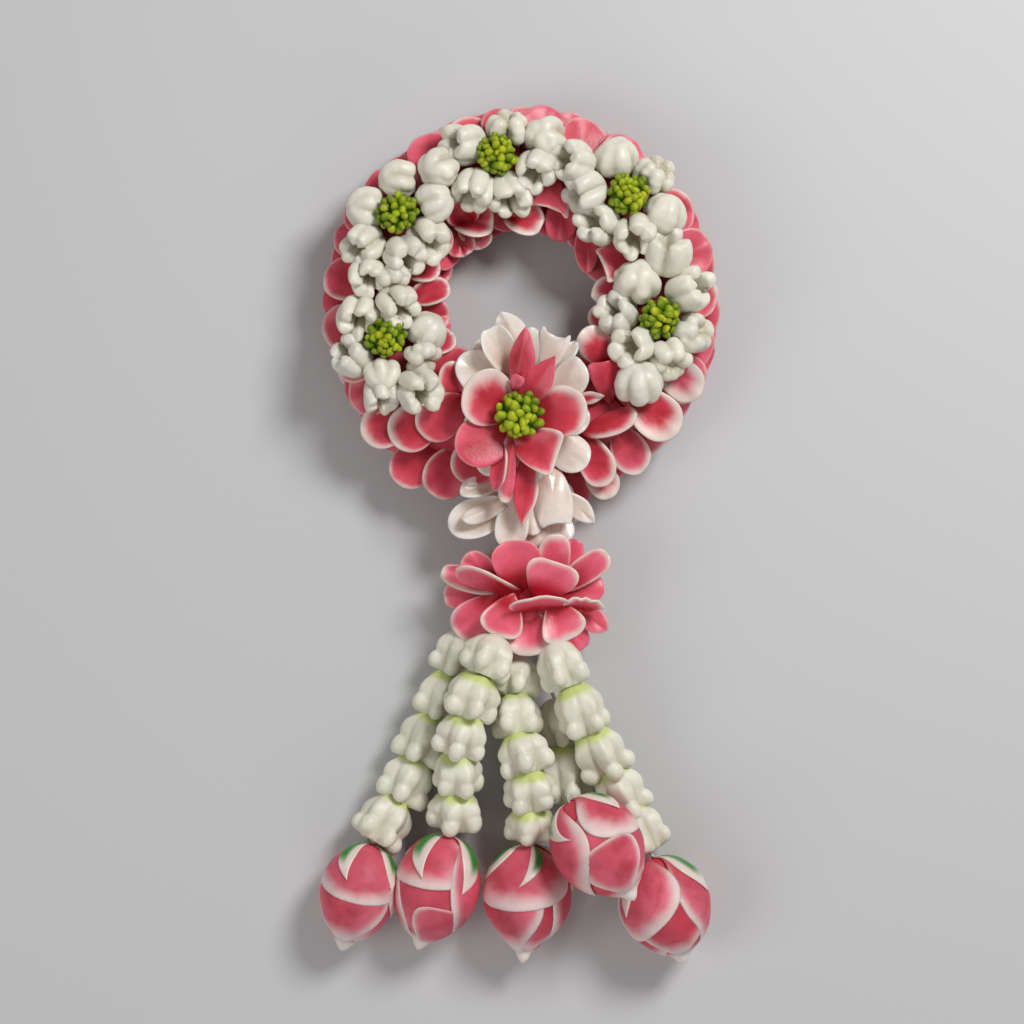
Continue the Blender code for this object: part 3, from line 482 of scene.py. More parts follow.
# Petals of the ring that the photograph shows one by one
FREE_RING = (
    # Over the hole's upper edge
    row(449, 216, 13, 494, 224, 15, 10.4, 0.13, 0.9, 100, cup=2.6, roll=0.5, wave=0.6, deep=1.6, full=0.3),
    row(466, 226, 13.2, 459, 197, 18.8, 11, 0.1, 0.8, cup=1.2, roll=1.1, deep=1.8, facing=(0.1, -0.7, 0.7)),
    row(452, 226, 12, 466, 256, 12.5, 9, 0.12, cup=0.8, wave=0.7, waves=6),
    row(474, 222, 10.5, 480, 250, 10.5, 9, 0.14, cup=0.6, wave=0.5, tint=0.7),
    row(502, 211, 13, 543, 224, 15.6, 9.8, 0.15, 0.9, 115, cup=2.4, wave=0.6, deep=1.6, full=0.3),
    row(556, 176, 19.4, 545, 216, 19.2, 14, 0.08, 0.9, taper=0.75, notch=0.22, square=0.75, cup=1, tint=0.3,
        facing=(0.2, 0.1, 1)),
    row(562, 192, 15.5, 560, 242, 13.5, 9.4, 0.02, cup=0.8, wave=0.4),
    row(586, 216, 14.5, 587, 273, 13, 7.4, 0.05, 0, 90, roll=0.6, point=0.3),
    row(643, 254, 16.8, 599, 268, 18.6, 12, 0.1, 0.9, 230, taper=0.8, square=0.75, notch=0.1, roll=0.4,
        facing=(-0.2, 0.2, 1)),
    row(632, 284, 15, 592, 296, 14, 9, 0.26, 0.6, 230, cup=1, point=0.3),
    row(628, 304, 14.5, 590, 326, 14, 9, 0.14, cup=0.8),
    # Beside the hole, left
    row(412, 224, 14.5, 450, 252, 14, 11, 0.1, cup=0.8, wave=0.5),
    row(402, 268, 15.5, 441, 268, 16.5, 10, 0.16, roll=1.2, facing=(0.5, 0, 0.8)),
    row(408, 300, 16, 450, 286, 15.5, 9, 0.14, roll=1.1, facing=(0.4, 0.2, 0.8)),
    row(404, 316, 14.5, 450, 316, 13, 11, 0.1, cup=1.2, wave=0.4),
    row(410, 352, 15, 456, 338, 15.5, 9, 0.14, cup=0.8, roll=0.9, facing=(0.3, 0.3, 0.9)),
    row(455, 408, 18, 452, 361, 19.5, 8.5, 0.16, cup=1.4, deep=1.2),
    row(430, 384, 16.5, 470, 352, 15.5, 10, 0.08, cup=0.8),
    # Scales at the lower left
    row(412, 398, 16.5, 366, 442, 15, 13.4, 0.13, 0.8, 135, cup=1.3),
    row(438, 400, 18, 395, 446, 16.8, 14, 0.12, 0.8, 120, cup=1.3),
    # This scale is lighter on one side: painted light.
    row(464, 396, 19.6, 421, 435, 18.6, 13.2, 0.08, 0.7, 125, cup=1.3, two_tone=0.3),
    row(434, 440, 12.5, 397, 484, 11.5, 13.2, 0.07, 0.6, cup=0.8, deep=1.4),
    row(466, 445, 14.5, 433, 496, 13.5, 13.8, 0.07, 0.6, 130, cup=1),
    row(496, 430, 17, 461, 482, 16, 14, 0.08, 0.6, 120, cup=0.9),
    row(470, 440, 9, 452, 492, 8, 13, 0.12, cup=0.6),
    # Scales at the lower right
    row(616, 364, 18, 581, 331, 21, 11, 0.26, 0.7, 150, roll=-0.7),
    # This folded scale is darker on one facet: painted shade.
    row(610, 406, 17.5, 603, 362, 22.5, 10, 0.01, taper=0.8, square=0.8, fold=-1.8, tint=0.2,
        two_tone=-0.6),
    row(572, 400, 17, 602, 396, 19, 4, 0.9, point=0.9),
    row(582, 434, 18.6, 637, 412, 21.5, 8.4, 0.16, 0.9, 100, roll=-0.8, facing=(-0.2, 0.35, 0.9)),
    row(628, 393, 18, 678, 433, 17, 13.8, 0.24, 0.7, 150, cup=1.5),
    row(656, 352, 15.5, 699, 398, 13.5, 12, 0.4, cup=0.9, tint=0.5),
    row(616, 426, 14.5, 641, 473, 12.5, 11.5, 0.13, 0.6, cup=1.2, point=0.2, tint=0.4),
    row(584, 434, 17.5, 606, 486, 15.5, 10.6, 0.14, 0.7, 215, cup=1),
    row(588, 455, 12.5, 612, 498, 11, 9.6, 0.26, 0.5, cup=0.6),
    row(572, 464, 11, 583, 503, 9.5, 6.5, 0.03, cup=0.5, point=0.2),
    row(650, 420, 9.5, 664, 444, 8.5, 11.5, 0.12, cup=0.6),
)


def ring_index(point):
    return int(math.degrees(math.atan2(point[1] - RING[1], point[0] - RING[0])) % 360 // 45)


for one in FREE_RING:
    petals(heaps[ring_index(one[0])], [one], wave=0.32)
for number, heap in enumerate(heaps, 1):
    heap.make("ring_petal_row_%d" % number, PINK, ["ring_petals_%d" % number], "pink_petal")


def apart_from(turn):
    """The size of an angle, once whole turns are taken off."""
    return np.abs((turn + math.pi) % TURN - math.pi)


def leaves(middle, room, missed):
    """How far out a ray leaves a ball: middle is its nearest point, room its squared half way inside."""
    return np.where(room > 0, middle + np.sqrt(np.clip(room, 0, None)), missed)


def soft_max(values, softness):
    """The largest of the stacked values, with rounded seams between them."""
    top = values.max(axis=0)
    return top + softness * np.log(np.exp((values - top) / softness).sum(axis=0))


def puff(heap, centre, axis, ribbed, size, lobes):
    """A closed floret of puffy lobes that run together."""
    spheres = []
    start, swirl, shade = any_turn(), vary(-0.9, 0.9), vary(0, 0.8)
    rounds = (112, 88, 64, 42, 24) if ribbed else (104, 80, 58)
    out, thick = (0.56, 0.42) if ribbed else (0.62, 0.36)
    for index in range(lobes):
        turn = start + (index + vary(-0.18, 0.18)) * TURN / lobes
        big, up = vary(0.9, 1.05), vary(-11, 11)
        for polar in rounds:
            bent = swirl * (1 - polar / 90) * (1 if ribbed else 0.5)
            spheres.append((math.radians(polar + up), turn + bent, out * big, thick * big))
    for _ in range(2 if ribbed else 5):
        spheres.append((math.radians(vary(40, 105)), any_turn(), 0.66, vary(0.24, 0.34)))
    places = np.array([(far * math.sin(polar) * math.cos(turn), far * math.sin(polar) * math.sin(turn),
                        far * math.cos(polar), radius) for polar, turn, far, radius in spheres])

    def reach(angle, share):
        polar = np.pi * (1 - share) ** 1.15
        way = np.column_stack((np.sin(polar) * np.cos(angle), np.sin(polar) * np.sin(angle), np.cos(polar)))
        along = way @ places[:, :3].T
        room = places[:, 3] ** 2 - (places[:, :3] ** 2).sum(axis=1) + along ** 2
        return polar, soft_max(leaves(along, room, 0.3).T, 0.026)

    def shape(angle, share):
        polar, far = reach(angle, share)
        return far * np.sin(polar) * size, far * np.cos(polar) * size

    def paint(angle, share):
        polar, far = reach(angle, share)
        # Painted shade in the seams between the lobes.
        return 0, np.clip((0.92 - far) * 3.4, 0, 0.8), shade

    lathe(heap, shape, centre, axis, 60, 42, paint)


# Radius and height of an open floret: up the outside, over the lip and down into the hollow
CUP = ((0, -0.8), (0.5, -0.74), (0.86, -0.42), (1, 0), (0.99, 0.36), (0.9, 0.64), (0.76, 0.76), (0.61,
       0.66), (0.53, 0.34), (0.44, -0.02), (0.24, -0.2), (0, -0.22))


def cup(heap, centre, axis, opened, size, lobes):
    """An open floret: thick petals in a ring round a hollow, each lip at its own height."""
    profile, grid = through(CUP, 120), np.linspace(0, 1, 120)
    start, swirl, off_turn, shade = any_turn(), vary(-1.2, 1.2), any_turn(), vary(0, 0.8)
    turns = start + (np.arange(lobes) + rng.uniform(-0.22, 0.22, lobes)) * TURN / lobes
    widths = rng.uniform(1.02, 1.3, lobes) * math.pi / lobes
    outs, tops = rng.uniform(0.86, 1.06, lobes), rng.uniform(-0.16, 0.18, lobes)
    hole, tan = 0.42 + 0.6 * opened, vary(0.3, 0.9)

    def lobe(angle, share):
        turned = angle[:, None] - turns - swirl * (share[:, None] - 0.6)
        apart = apart_from(turned) / widths
        bulge = np.sqrt(np.clip(1 - apart ** 2, 0, 1))
        return soft_max(bulge.T, 0.03), soft_max((bulge * outs).T, 0.03), (bulge ** 2 * tops).sum(axis=1)

    def shape(angle, share):
        radius, height = np.interp(share, grid, profile[:, 0]), np.interp(share, grid, profile[:, 1])
        bulge, out, top = lobe(angle, share)
        inside = smooth(0.52, 0.66, share)
        lip = smooth(0.28, 0.52, share) * (1 - smooth(0.7, 0.9, share))
        outer = 1 - 0.48 * (1 - out) * smooth(0.04, 0.3, share)
        inner = hole * (1.4 - 0.6 * bulge) * (1 + 0.3 * np.cos(angle - off_turn))
        return (radius * (outer * (1 - inside) + inner * inside) * size,
                (height + lip * (0.34 * (bulge - 0.6) + top)) * size)

    def paint(angle, share):
        bulge, out, top = lobe(angle, share)
        hollow = smooth(0.6, 0.84, share)
        # Painted shade inside the hollow and in the seams between the lips; tan paints the bottom of the
        # hollow.
        return tan * smooth(0.76, 0.93, share), np.clip(0.45 * hollow + 0.9 * (0.72 - bulge), 0, 0.8), shade

    lathe(heap, shape, centre, axis, 60, 48, paint)


def floret(heap, centre, azimuth, lean, opened, size, lobes):
    """A jasmine floret, an open cup or a closed puff, whose mouth leans to one side."""
    azimuth, lean = math.radians(azimuth), math.radians(lean)
    axis = (math.cos(azimuth) * math.sin(lean), math.sin(azimuth) * math.sin(lean), math.cos(lean))
    if opened < 0.3:
        puff(heap, centre, axis, opened < 0.15, size, lobes)
    else:
        cup(heap, centre, axis, opened, size, lobes)


# Jasmine florets: pixel, which way the mouth turns, lean from upright, how open, size
FLORETS = (
    ((387, 337), ((358, 315, 270, 35, 0.5, 4.9), (396, 305, 320, 35, 0.4, 5), (426, 331, 30, 60, 0.1, 4.9),
     (421, 356, 330, 60, 0.2, 4.8), (418, 389, 320, 30, 0.35, 5.3), (382, 374, 260, 55, 0.12, 4.4),
     (382, 391, 275, 60, 0.4, 4.3), (353, 358, 150, 40, 0.5, 4.8))),
    ((397, 213), ((399, 178, 195, 72, 0.1, 4.9), (433, 203, 20, 75, 0.05, 4.7), (427, 238, 300, 40, 0.4, 5),
     (404, 256, 320, 30, 0.35, 4.9), (366, 244, 215, 45, 0.3, 4.9), (367, 208, 180, 70, 0.1, 4.8),
     (368, 276, 270, 30, 0.4, 4.5), (392, 279, 300, 45, 0.2, 4.4))),
    ((496, 154), ((466, 144, 180, 50, 0.4, 5), (507, 130, 90, 60, 0.2, 5), (547, 138, 150, 35, 0.12, 5.1),
     (537, 169, 250, 30, 0.6, 4.9), (509, 193, 285, 45, 0.6, 5.2), (475, 188, 250, 50, 0.5, 4.9),
     (440, 169, 200, 50, 0.12, 5))),
    ((628, 194), ((574, 162, 170, 35, 0.7, 5.1), (616, 160, 90, 60, 0.05, 5.1),
     (655, 176, 60, 60, 0.2, 4.9), (665, 216, 90, 68, 0.12, 5.3), (635, 235, 270, 25, 0.6, 5),
     (599, 224, 180, 30, 0.6, 5), (587, 190, 200, 68, 0.4, 4.9), (667, 256, 80, 55, 0.5, 5.2))),
    ((660, 318), ((637, 283, 90, 30, 0.05, 5.5), (687, 291, 20, 45, 0.4, 5.2), (691, 333, 0, 60, 0.2, 5.2),
     (669, 359, 300, 40, 0.2, 5.1), (634, 346, 200, 30, 0.5, 5.1), (618, 315, 150, 35, 0.4, 5),
     (639, 385, 90, 60, 0.04, 5.4))),
)
FLORET_Z = 20.0
LOW_Z = 19.4
CLEAR = 13.4
FULL = 1.16
DOME_EDGE = math.radians(68)


def over_core(x, y):
    """Height of a floret that lies over the ring's core at that pixel."""
    spot = at(x, y, FLORET_Z)
    off = math.hypot(spot[0] - RING[0], spot[1] - RING[1]) - RING_RADIUS
    return max(LOW_Z, CORE_Z + math.sqrt(max(0, CLEAR ** 2 - off ** 2)))


def knob(heap, centre, axis, radius, height, deep, tint):
    """A stubby knob, yellow on top and green towards its foot."""
    def shape(angle, share):
        lumpy = 1 + 0.1 * np.sin(2 * angle + tint * 9) + 0.06 * np.sin(3 * angle + deep * 9)
        return radius * lumpy * np.sin(np.pi * share) ** 0.75, -height * np.cos(np.pi * share)

    def paint(angle, share):
        # Darker green towards the foot: partly the knob's colour and partly painted shade in the clefts.
        return 0.3 * share, np.clip(deep + (1 - smooth(0.3, 0.78, share)), 0, 1), tint

    lathe(heap, shape, centre, axis, 16, 12, paint)


def green_dome(name, node, centre, size, rings, green):
    """Stubby knobs over a dome, yellow on top and green at the sides; rings has the count of each round."""
    heap = Heap()
    # Dark green bodies under the knobs: partly their green base and partly painted shade in the gaps.
    ellipsoid(heap, centre - 2.1 * UP, (size * 0.8, size * 0.52), 28, 16, (0, 0.85, 0.6))
    ellipsoid(heap, centre - 4.2 * UP, (size * 0.6, 3.4), 20, 10, (0, 1, 0))
    green_side = any_turn()
    for place, knobs in enumerate(rings):
        spread = place / (len(rings) - 1)
        start = any_turn()
        for index in range(knobs):
            polar = DOME_EDGE * spread * vary(0.9, 1.08)
            turn = start + (index + vary(-0.28, 0.28)) * TURN / knobs
            out = np.array((math.sin(polar) * math.cos(turn), math.sin(polar) * math.sin(turn),
                            math.cos(polar) * 0.7))
            radius = size * vary(0.15, 0.22)
            lean = unit(out + np.array((vary(-0.8, 0.8), vary(-0.8, 0.8), 0.6)))
            spot = centre - 1.7 * UP + out * (size - radius)
            # Outer knobs, and all knobs by green, are darker green: partly their colour and partly painted
            # shade in the clefts.
            deep = (green + max(0, spread - 0.5)) * vary(0.1, 1.6)
            deep += 0.8 * spread * max(0, math.cos(turn - green_side))
            tint = vary(0, 0.9)
            knob(heap, spot, lean, radius, radius * vary(1.2, 1.8), deep, tint)
            if vary(0, 1) < 0.25:
                beside = spot + radius * unit((vary(-1, 1), vary(-1, 1), 0.1))
                knob(heap, beside, lean, radius * 0.8, radius * 1.1, deep, tint)
    heap.make(name, KNOB, [node], "centre_green", wobbly=0.22)


for number, ((centre_x, centre_y), florets) in enumerate(FLORETS, 1):
    heap = Heap()
    for x, y, azimuth, lean, opened, size in florets:
        floret(heap, at(x, y, over_core(x, y)), azimuth, lean, opened, size * FULL, int(rng.integers(5, 7)))
    # A body under the florets in the deep colour: painted shade in the gaps between them.
    ellipsoid(heap, at(centre_x, centre_y, 18), (4.4, 2.4), 24, 12, (0, 1, 0.5))
    heap.make("florets_%d" % number, FLORET, ["jasmine_cluster_%d" % number], "white_petal")
    centre = at(centre_x, centre_y, 24.6)
    green_dome("knobs_%d" % number, "green_centre_%d" % number, centre, 5.4, (1, 5, 9, 13), 0.42)

# The bloom
white = Heap()
BLOOM_WHITE = (
    row(512, 374, 20.5, 488, 325, 24, 10.2, cup=2.4, roll=1, full=0.2, deep=1.5, notch=0.06),
    row(524, 368, 19.5, 511, 311, 23, 9.2, fold=-1.6, roll=-0.5, full=0.2, point=0.35, skew=-0.5, deep=1.2),
    row(528, 370, 19, 532, 327, 22, 7.6, roll=-0.8, curl=-0.4),
    row(544, 374, 19.5, 559, 327, 22, 10, taper=0.7, notch=0.2, square=0.6, cup=0.6, roll=0.4,
        facing=(-0.2, -0.2, 1)),
    row(552, 374, 18.2, 577, 342, 20, 5.2, roll=1.4, point=0.4),
    row(508, 398, 19, 460, 356, 21, 12.4, cup=1.6),
    row(514, 386, 17.8, 476, 341, 18.5, 10.5, cup=1.2),
    row(548, 400, 19.5, 588, 368, 22, 11, roll=-0.5, cup=0.4, square=0.15, skew=-0.3),
    row(545, 436, 19.5, 588, 465, 21, 11, roll=-0.5, taper=0.2),
    row(502, 424, 19, 463, 428, 20, 10.5, cup=0.7),
    row(508, 436, 18.6, 482, 474, 18.6, 9.5, cup=0.7),
    row(540, 420, 18.6, 590, 418, 19.5, 10, cup=0.6),
    row(524, 440, 18.6, 540, 480, 19, 10, cup=0.6),
)
# On these white petals deep and heart paint shade: brownish at the roots and inside the cups.
petals(white, BLOOM_WHITE, 0.3, wave=0.35, deep=0.8, heart=0.05)
ellipsoid(white, at(519, 414, 18.8), (7.5, 1.6), 30, 12, (0, 0.5, 0.3))
white.make("bloom_back_petals", WHITE, ["bloom_white_petals"], "white_petal")

pink = Heap()
# Several of these petals are lighter on one side of a fold or edge as painted light or sheen, or darker as
# painted shade.
BLOOM_PINK = (
    row(514, 410, 23, 464, 387, 28, 16.6, 0.22, 0.85, 140, cup=1.4, taper=0.3),
    row(516, 424, 22.6, 457, 454, 26.5, 15, 0.03, 0.8, 140, cup=1.2, two_tone=0.2),
    row(526, 412, 23, 588, 411, 27.5, 15, 0.13, 0.8, 225, cup=1.5, fold=0.5, two_tone=-0.3),
    row(519, 404, 24.5, 525.5, 332, 29.2, 7.6, 0.01, fold=-5, point=0.9, two_tone=1, heart=0.6,
        facing=(0.1, 0, 1)),
    row(512, 390, 26.5, 520, 376, 28.8, 4.2, 0.02, fold=-1.2, tint=1),
    row(522, 408, 24, 552.5, 360, 28, 8.4, 0.02, roll=0.6, point=1, two_tone=0.4, facing=(-0.3, -0.2, 1)),
    row(508, 438, 24, 561, 456, 27.6, 14.4, 0.08, 0.9, roll=0.5, square=0.75, taper=0.65, notch=0.05,
        wave=0.5, facing=(-0.3, 0.1, 1)),
    row(503, 436, 23.4, 497, 492, 25, 6, 0.06, 0.9, 270, roll=0.5, facing=(-0.6, 0, 0.8), deep=1.3),
    row(512, 430, 24.4, 504, 503, 26.4, 5.8, 0.16, 1, 90, roll=-1.5, tint=0.5, full=0.3),
    row(530, 446, 22.6, 523, 521, 22.6, 7.6, 0.09, 0.9, 270, roll=0.7, point=0.8, two_tone=-0.3),
)
petals(pink, BLOOM_PINK, wave=0.15)
ellipsoid(pink, at(519, 414, 22.6), (5.6, 2), 26, 12, (0, 0.8, 0))
pink.make("bloom_front_petals", PINK, ["bloom_pink_petals"], "pink_petal")
green_dome("bloom_knobs", "bloom_green_centre", at(519.5, 414, 28.4), 6.3, (1, 5, 9, 12), 0.03)

# The neck
neck = Heap()
NECK = (
    row(502, 482, 15.5, 460, 493, 18, 7, cup=2, facing=(0.1, 0.5, 0.9)),
    row(514, 504, 14, 448, 528, 15.5, 11.8, cup=2, roll=0.4),
    row(512, 500, 17, 462, 520, 19.2, 5.8, roll=-1.1, facing=(0.1, 0.5, 0.9)),
    row(518, 490, 17.4, 509, 551, 18, 10, cup=1.2, roll=0.3, facing=(-0.2, 0, 0.9)),
    row(526, 486, 18, 534, 536, 18.6, 7.4, roll=-0.8),
    row(540, 500, 16, 536, 548, 16.4, 8.4, roll=-0.5),
    row(549, 466, 18.6, 557, 531, 19.6, 11.6, roll=-0.9, curl=-0.7, square=0.5, notch=0.12, taper=0.2,
        wave=0.5),
    row(560, 492, 13, 593, 521, 12.4, 6.6, point=0.6, cup=0.6),
    row(556, 512, 14.6, 560, 544, 15.6, 9.6, roll=-0.4),
    row(516, 505, 9, 468, 520, 7, 10, cup=0.8, facing=-UP),
    row(534, 505, 9, 580, 515, 7, 10, cup=0.8, facing=-UP),
    row(524, 500, 8, 522, 546, 6.6, 10, cup=0.8, facing=-UP),
    row(514, 490, 12, 478, 500, 11, 9, cup=0.6),
    row(536, 490, 12, 574, 500, 11, 9, cup=0.6),
)
# On the neck petals deep and heart paint shade at the roots and inside the cups.
petals(neck, NECK, 0.4, wave=0.4, deep=0.7, heart=0.1)


def stem(heap, top, end, radius):
    def shape(angle, share):
        ends = np.minimum(1, np.sqrt(np.clip(4 * share * (1 - share), 0, 1)) * 1.6)
        return radius * ends * (1 + 0.05 * np.cos(3 * angle)), share * np.linalg.norm(end - top)
    lathe(heap, shape, top, end - top, 20, 14, lambda angle, share: (0, 0.5, 0.2))


stem(neck, at(522, 468, 12.5), at(522, 545, 12.5), 4.4)
neck.make("neck_petals", WHITE, ["neck_white_petals"], "white_petal")

# The collar
collar = Heap()
COLLAR = (
    row(520, 596, 17.2, 514, 540, 22, 16.2, 0.03, cup=0.8, fold=2.2, taper=0.7, tint=0.4),
    row(545, 594, 16.5, 559, 534, 19.8, 9.8, 0.12, 0.8, 240, cup=1, tint=0.5),
    row(556, 588, 13.5, 578, 540, 14.5, 7.2, 0.02, cup=0.5, tint=0.3),
    row(502, 587, 12.5, 464, 556, 12.5, 8.6, 0.09, cup=0.8, deep=1.4),
    row(522, 594, 17.5, 456, 568, 20, 9.6, 0.12, 0.9, 90, roll=0.4, facing=(0.1, -0.9, 0.5)),
    row(505, 590, 14.5, 441, 571, 16, 8, 0.14, 0.9, 270, cup=0.6, facing=(0.1, -0.4, 0.9)),
    row(505, 594, 12.5, 443, 594, 11.5, 10.4, 0.09, cup=0.8, deep=1.6, facing=(0.2, -0.4, 0.8)),
    row(538, 606, 18, 557, 561, 24.4, 17.5, 0.05, 1.5, cup=0.6, fold=2.2, taper=0.85, square=0.35,
        facing=(0, -0.35, 0.9)),
    row(555, 590, 15.5, 608, 553, 18.5, 8.8, 0.12, roll=0.8, facing=(-0.3, -0.4, 0.8)),
    row(552, 596, 15, 604, 584, 14.5, 9.6, 0.03, cup=0.8, taper=0.6, tint=0.4),
    row(538, 611, 17, 539, 597, 25, 17.4, 0.09, 0.8, roll=0.2, wave=0.2, facing=(0.12, -0.97, 0.3)),
    row(578, 610, 15, 586, 598, 21.5, 12.6, 0.14, 0.6, roll=0.4, wave=0.35, waves=7,
        facing=(0, -0.9, 0.45)),
    row(515, 592, 18.5, 496, 636, 19.6, 15, 0.08, 0.9, cup=0.8, fold=2, taper=0.85),
    row(505, 592, 14, 456, 634, 12.6, 13, 0.07, 0.8, cup=0.8, fold=1, taper=0.7),
    row(527, 598, 15.5, 531, 656, 17.5, 15.6, 0.15, 0.8, cup=0.6, fold=1.4, taper=0.8),
    row(549, 598, 17.8, 570, 640, 19.6, 15.6, 0.12, 0.9, 160, cup=0.6, fold=2, taper=0.85),
    row(570, 603, 13.5, 606, 629, 12.8, 8, 0.06, cup=0.6, point=0.5, taper=0.6),
    row(560, 610, 11.5, 580, 651, 11.5, 10, 0.03, cup=0.6, taper=0.6, tint=0.4),
)
# The strong deep darkens the collar's roots: partly the paste's deep red and partly painted shade in the
# creases there.
petals(collar, COLLAR, wave=0.4, full=0.2, tint=0.45, deep=1.8, heart=0.12)
middle = at(525, 594, 8)
for degrees in range(10, 370, 40):
    angle = math.radians(degrees)
    root = middle + np.array((3 * math.cos(angle), 3 * math.sin(angle), 0))
    tip = middle + np.array((17.5 * math.cos(angle), 11.5 * math.sin(angle), -2.6 + vary(-0.6, 0.6)))
    petal(collar, root, tip, 12, -UP, cup=0.8, rim_width=0.2, wave=0.3, phase=vary(0, 6))
stem(collar, at(525, 546, 12.5), at(525, 628, 12.5), 5.2)
ellipsoid(collar, at(526, 596, 14.5), (5.6, 3.4), 24, 14, (0, 1, 0))
collar.make("collar_petals", ROSE, ["collar_pink_petals"], "pink_petal")

# Strands of crown flowers: the same thread points as the solids, about the ring's centre
STRANDS = (
    ((-6, -81, 11.5), (-12.8, -81.6, 9.2), (-17.4, -92, 7.4), (-22.8, -106, 6.8), (-28.8, -120, 6.8),
     (-34.2, -130.4, 8.1)),
    ((-3.2, -80.8, 15), (-5.8, -82.8, 17.6), (-10.9, -94, 19.7), (-14.8, -107, 17.6), (-16.2, -120, 13.4)),
    ((0.4, -84.4, 11), (-0.6, -88.2, 10), (-1.6, -98, 12.4), (-0.8, -108, 15.6), (1.6, -117, 16.3),
     (2.8, -128, 13.8)),
    ((4.4, -88, 9), (8.5, -99, 6.9), (10.3, -109, 6.8), (10.9, -120.8, 7.1)),
    ((5, -82.2, 15.4), (8, -84, 17.4), (12.6, -94.6, 18.8), (17.6, -108, 16.4), (23.5, -120.6, 10.8),
     (29.2, -131.6, 9.3)),
)
BARE_ENDS = (0.9, 0.9, 0.9, 14.0, 0.9)

# The solid buds' tops and tips; each thread goes a little way into its bud
BUDS = (
    ((-37.6, -136.4, 10.04), (-44.8, -161.6, 10.04)),
    ((-16.9, -134.4, 10.21), (-23.9, -161.4, 10.21)),
    ((2.6, -137.4, 10.67), (0.6, -164.6, 10.67)),
    ((13.5, -125.9, 22), (28.5, -149.5, 26.6)),
    ((33.4, -139.4, 10.83), (41.2, -164.2, 10.83)),
)
BUD_ENTRY = 2.6


def flower_stations(strand, flowers):
    """Where a strand's flowers begin and end, evenly along its thread."""
    top, tip = np.array(BUDS[strand])
    entry = top - unit(tip - top) * BUD_ENTRY
    points = (*STRANDS[strand], entry)
    curve = through(points, 10 * (len(points) - 1) + 1)[10:]
    done = np.concatenate(([0], np.cumsum(np.linalg.norm(np.diff(curve, axis=0), axis=1))))
    wanted = np.linspace(0, done[-1] - BARE_ENDS[strand], flowers + 1)
    return np.column_stack([np.interp(wanted, done, curve[:, axis]) for axis in range(3)]) + RING


# Radius of a bell, and the share of its length: down the outside, over the lip and up into the hollow
BELL_OUTLINE = ((0, -0.02), (1.8, 0), (3.4, 0.06), (4.9, 0.18), (5.9, 0.33), (6.1, 0.46), (5.5, 0.6),
                (4.6, 0.74), (3.7, 0.86), (2.8, 0.9), (1.9, 0.84), (0.9, 0.74), (0, 0.72))
BALL_OUT = 5.1


def bell(name, node, top, end, size, capped):
    """A bell of five soft ribs, mostly under a green cap, each rib ending in a ball at the lower rim."""
    heap = Heap()
    length = np.linalg.norm(end - top) + 1.5
    axis = unit(end - top)
    outline = through([(radius, length * height) for radius, height in BELL_OUTLINE], 140)
    grid = np.linspace(0, 1, 140)
    start = any_turn()
    turns = start + (np.arange(5) + rng.uniform(-0.07, 0.07, 5)) * TURN / 5
    widths = rng.uniform(0.95, 1.05, 5)
    ball_at = length - rng.uniform(3.6, 4.7, 5)
    ball_size = rng.uniform(1.85, 2.2, 5)
    shade = vary(0, 0.8)

    def reach(angle, share):
        edge, height = np.interp(share, grid, outline[:, 0]), np.interp(share, grid, outline[:, 1])
        apart = apart_from(angle[:, None] - turns)
        far = (0.4 + 0.16 * smooth(1, 8, height))[:, None] * np.ones(5)
        room = np.where(apart < 1.5, (1 - far) ** 2 - (far * np.sin(apart)) ** 2, 0)
        ribs = leaves(far * np.cos(apart), room, 0.3)
        ridge = 0.095 * np.exp(-(apart / 0.17) ** 2).max(axis=1) * smooth(2, 4.5, height)
        ridge = ridge * (1 - smooth(0.7 * length, 0.86 * length, height))
        body = (soft_max((ribs * widths).T, 0.03) + ridge) * edge
        off = np.where(apart < 1.5, BALL_OUT * np.sin(apart), 9)
        room = ball_size ** 2 - off ** 2 - ((height[:, None] - ball_at) / 1.25) ** 2
        balls = leaves(BALL_OUT * np.cos(apart), room, 0).max(axis=1)
        outer = soft_max(np.stack((body, balls)), 0.1)
        return edge, height, np.where(share < 0.74, outer, body)

    def shape(angle, share):
        edge, height, radius = reach(angle, share)
        return radius * size, height

    def paint(angle, share):
        edge, height, radius = reach(angle, share)
        # Painted shade: darker in the grooves between the ribs and inside the bell's hollow.
        valley = np.clip((0.92 - radius / np.maximum(edge, 0.5)) * 4, 0, 1) * smooth(1.5, 4, height)
        cap = 1 - smooth(1.6 + 0.5 * np.sin(angle * 2 + start), 3.2 + 3 * valley, height)
        cap = cap * (share < 0.6)
        return cap * 0.8 * capped, valley * 0.6 + 0.5 * smooth(0.8, 0.9, share), shade

    lathe(heap, shape, top, axis, 96, 56, paint)
    heap.make(name, BELL, [node], "white_petal", wobbly=0.12)


# How much longer than its stretch of thread each flower is, strand by strand
LONGER = ((0.06, 0.12, 0.12, 0.12, 0.14), (0.06, 0.12, 0.12, 0.12, 0.04), (0.06, 0.12, 0.12, 0.12, 0.02),
          (0.06, 0.36), (0.06, 0.12, 0.12, 0.12, 0.08))
for strand, longer in enumerate(LONGER):
    stations = flower_stations(strand, len(longer))
    for index, more in enumerate(longer):
        place = "%d_%d" % (strand + 1, index + 1)
        top, end = stations[index], stations[index + 1]
        end = end + (end - top) * more + np.array((vary(-0.8, 0.8), 0, vary(-0.5, 0.5)))
        bell("bell_" + place, "crown_flower_" + place, top, end, vary(0.95, 1.05), index > 0)


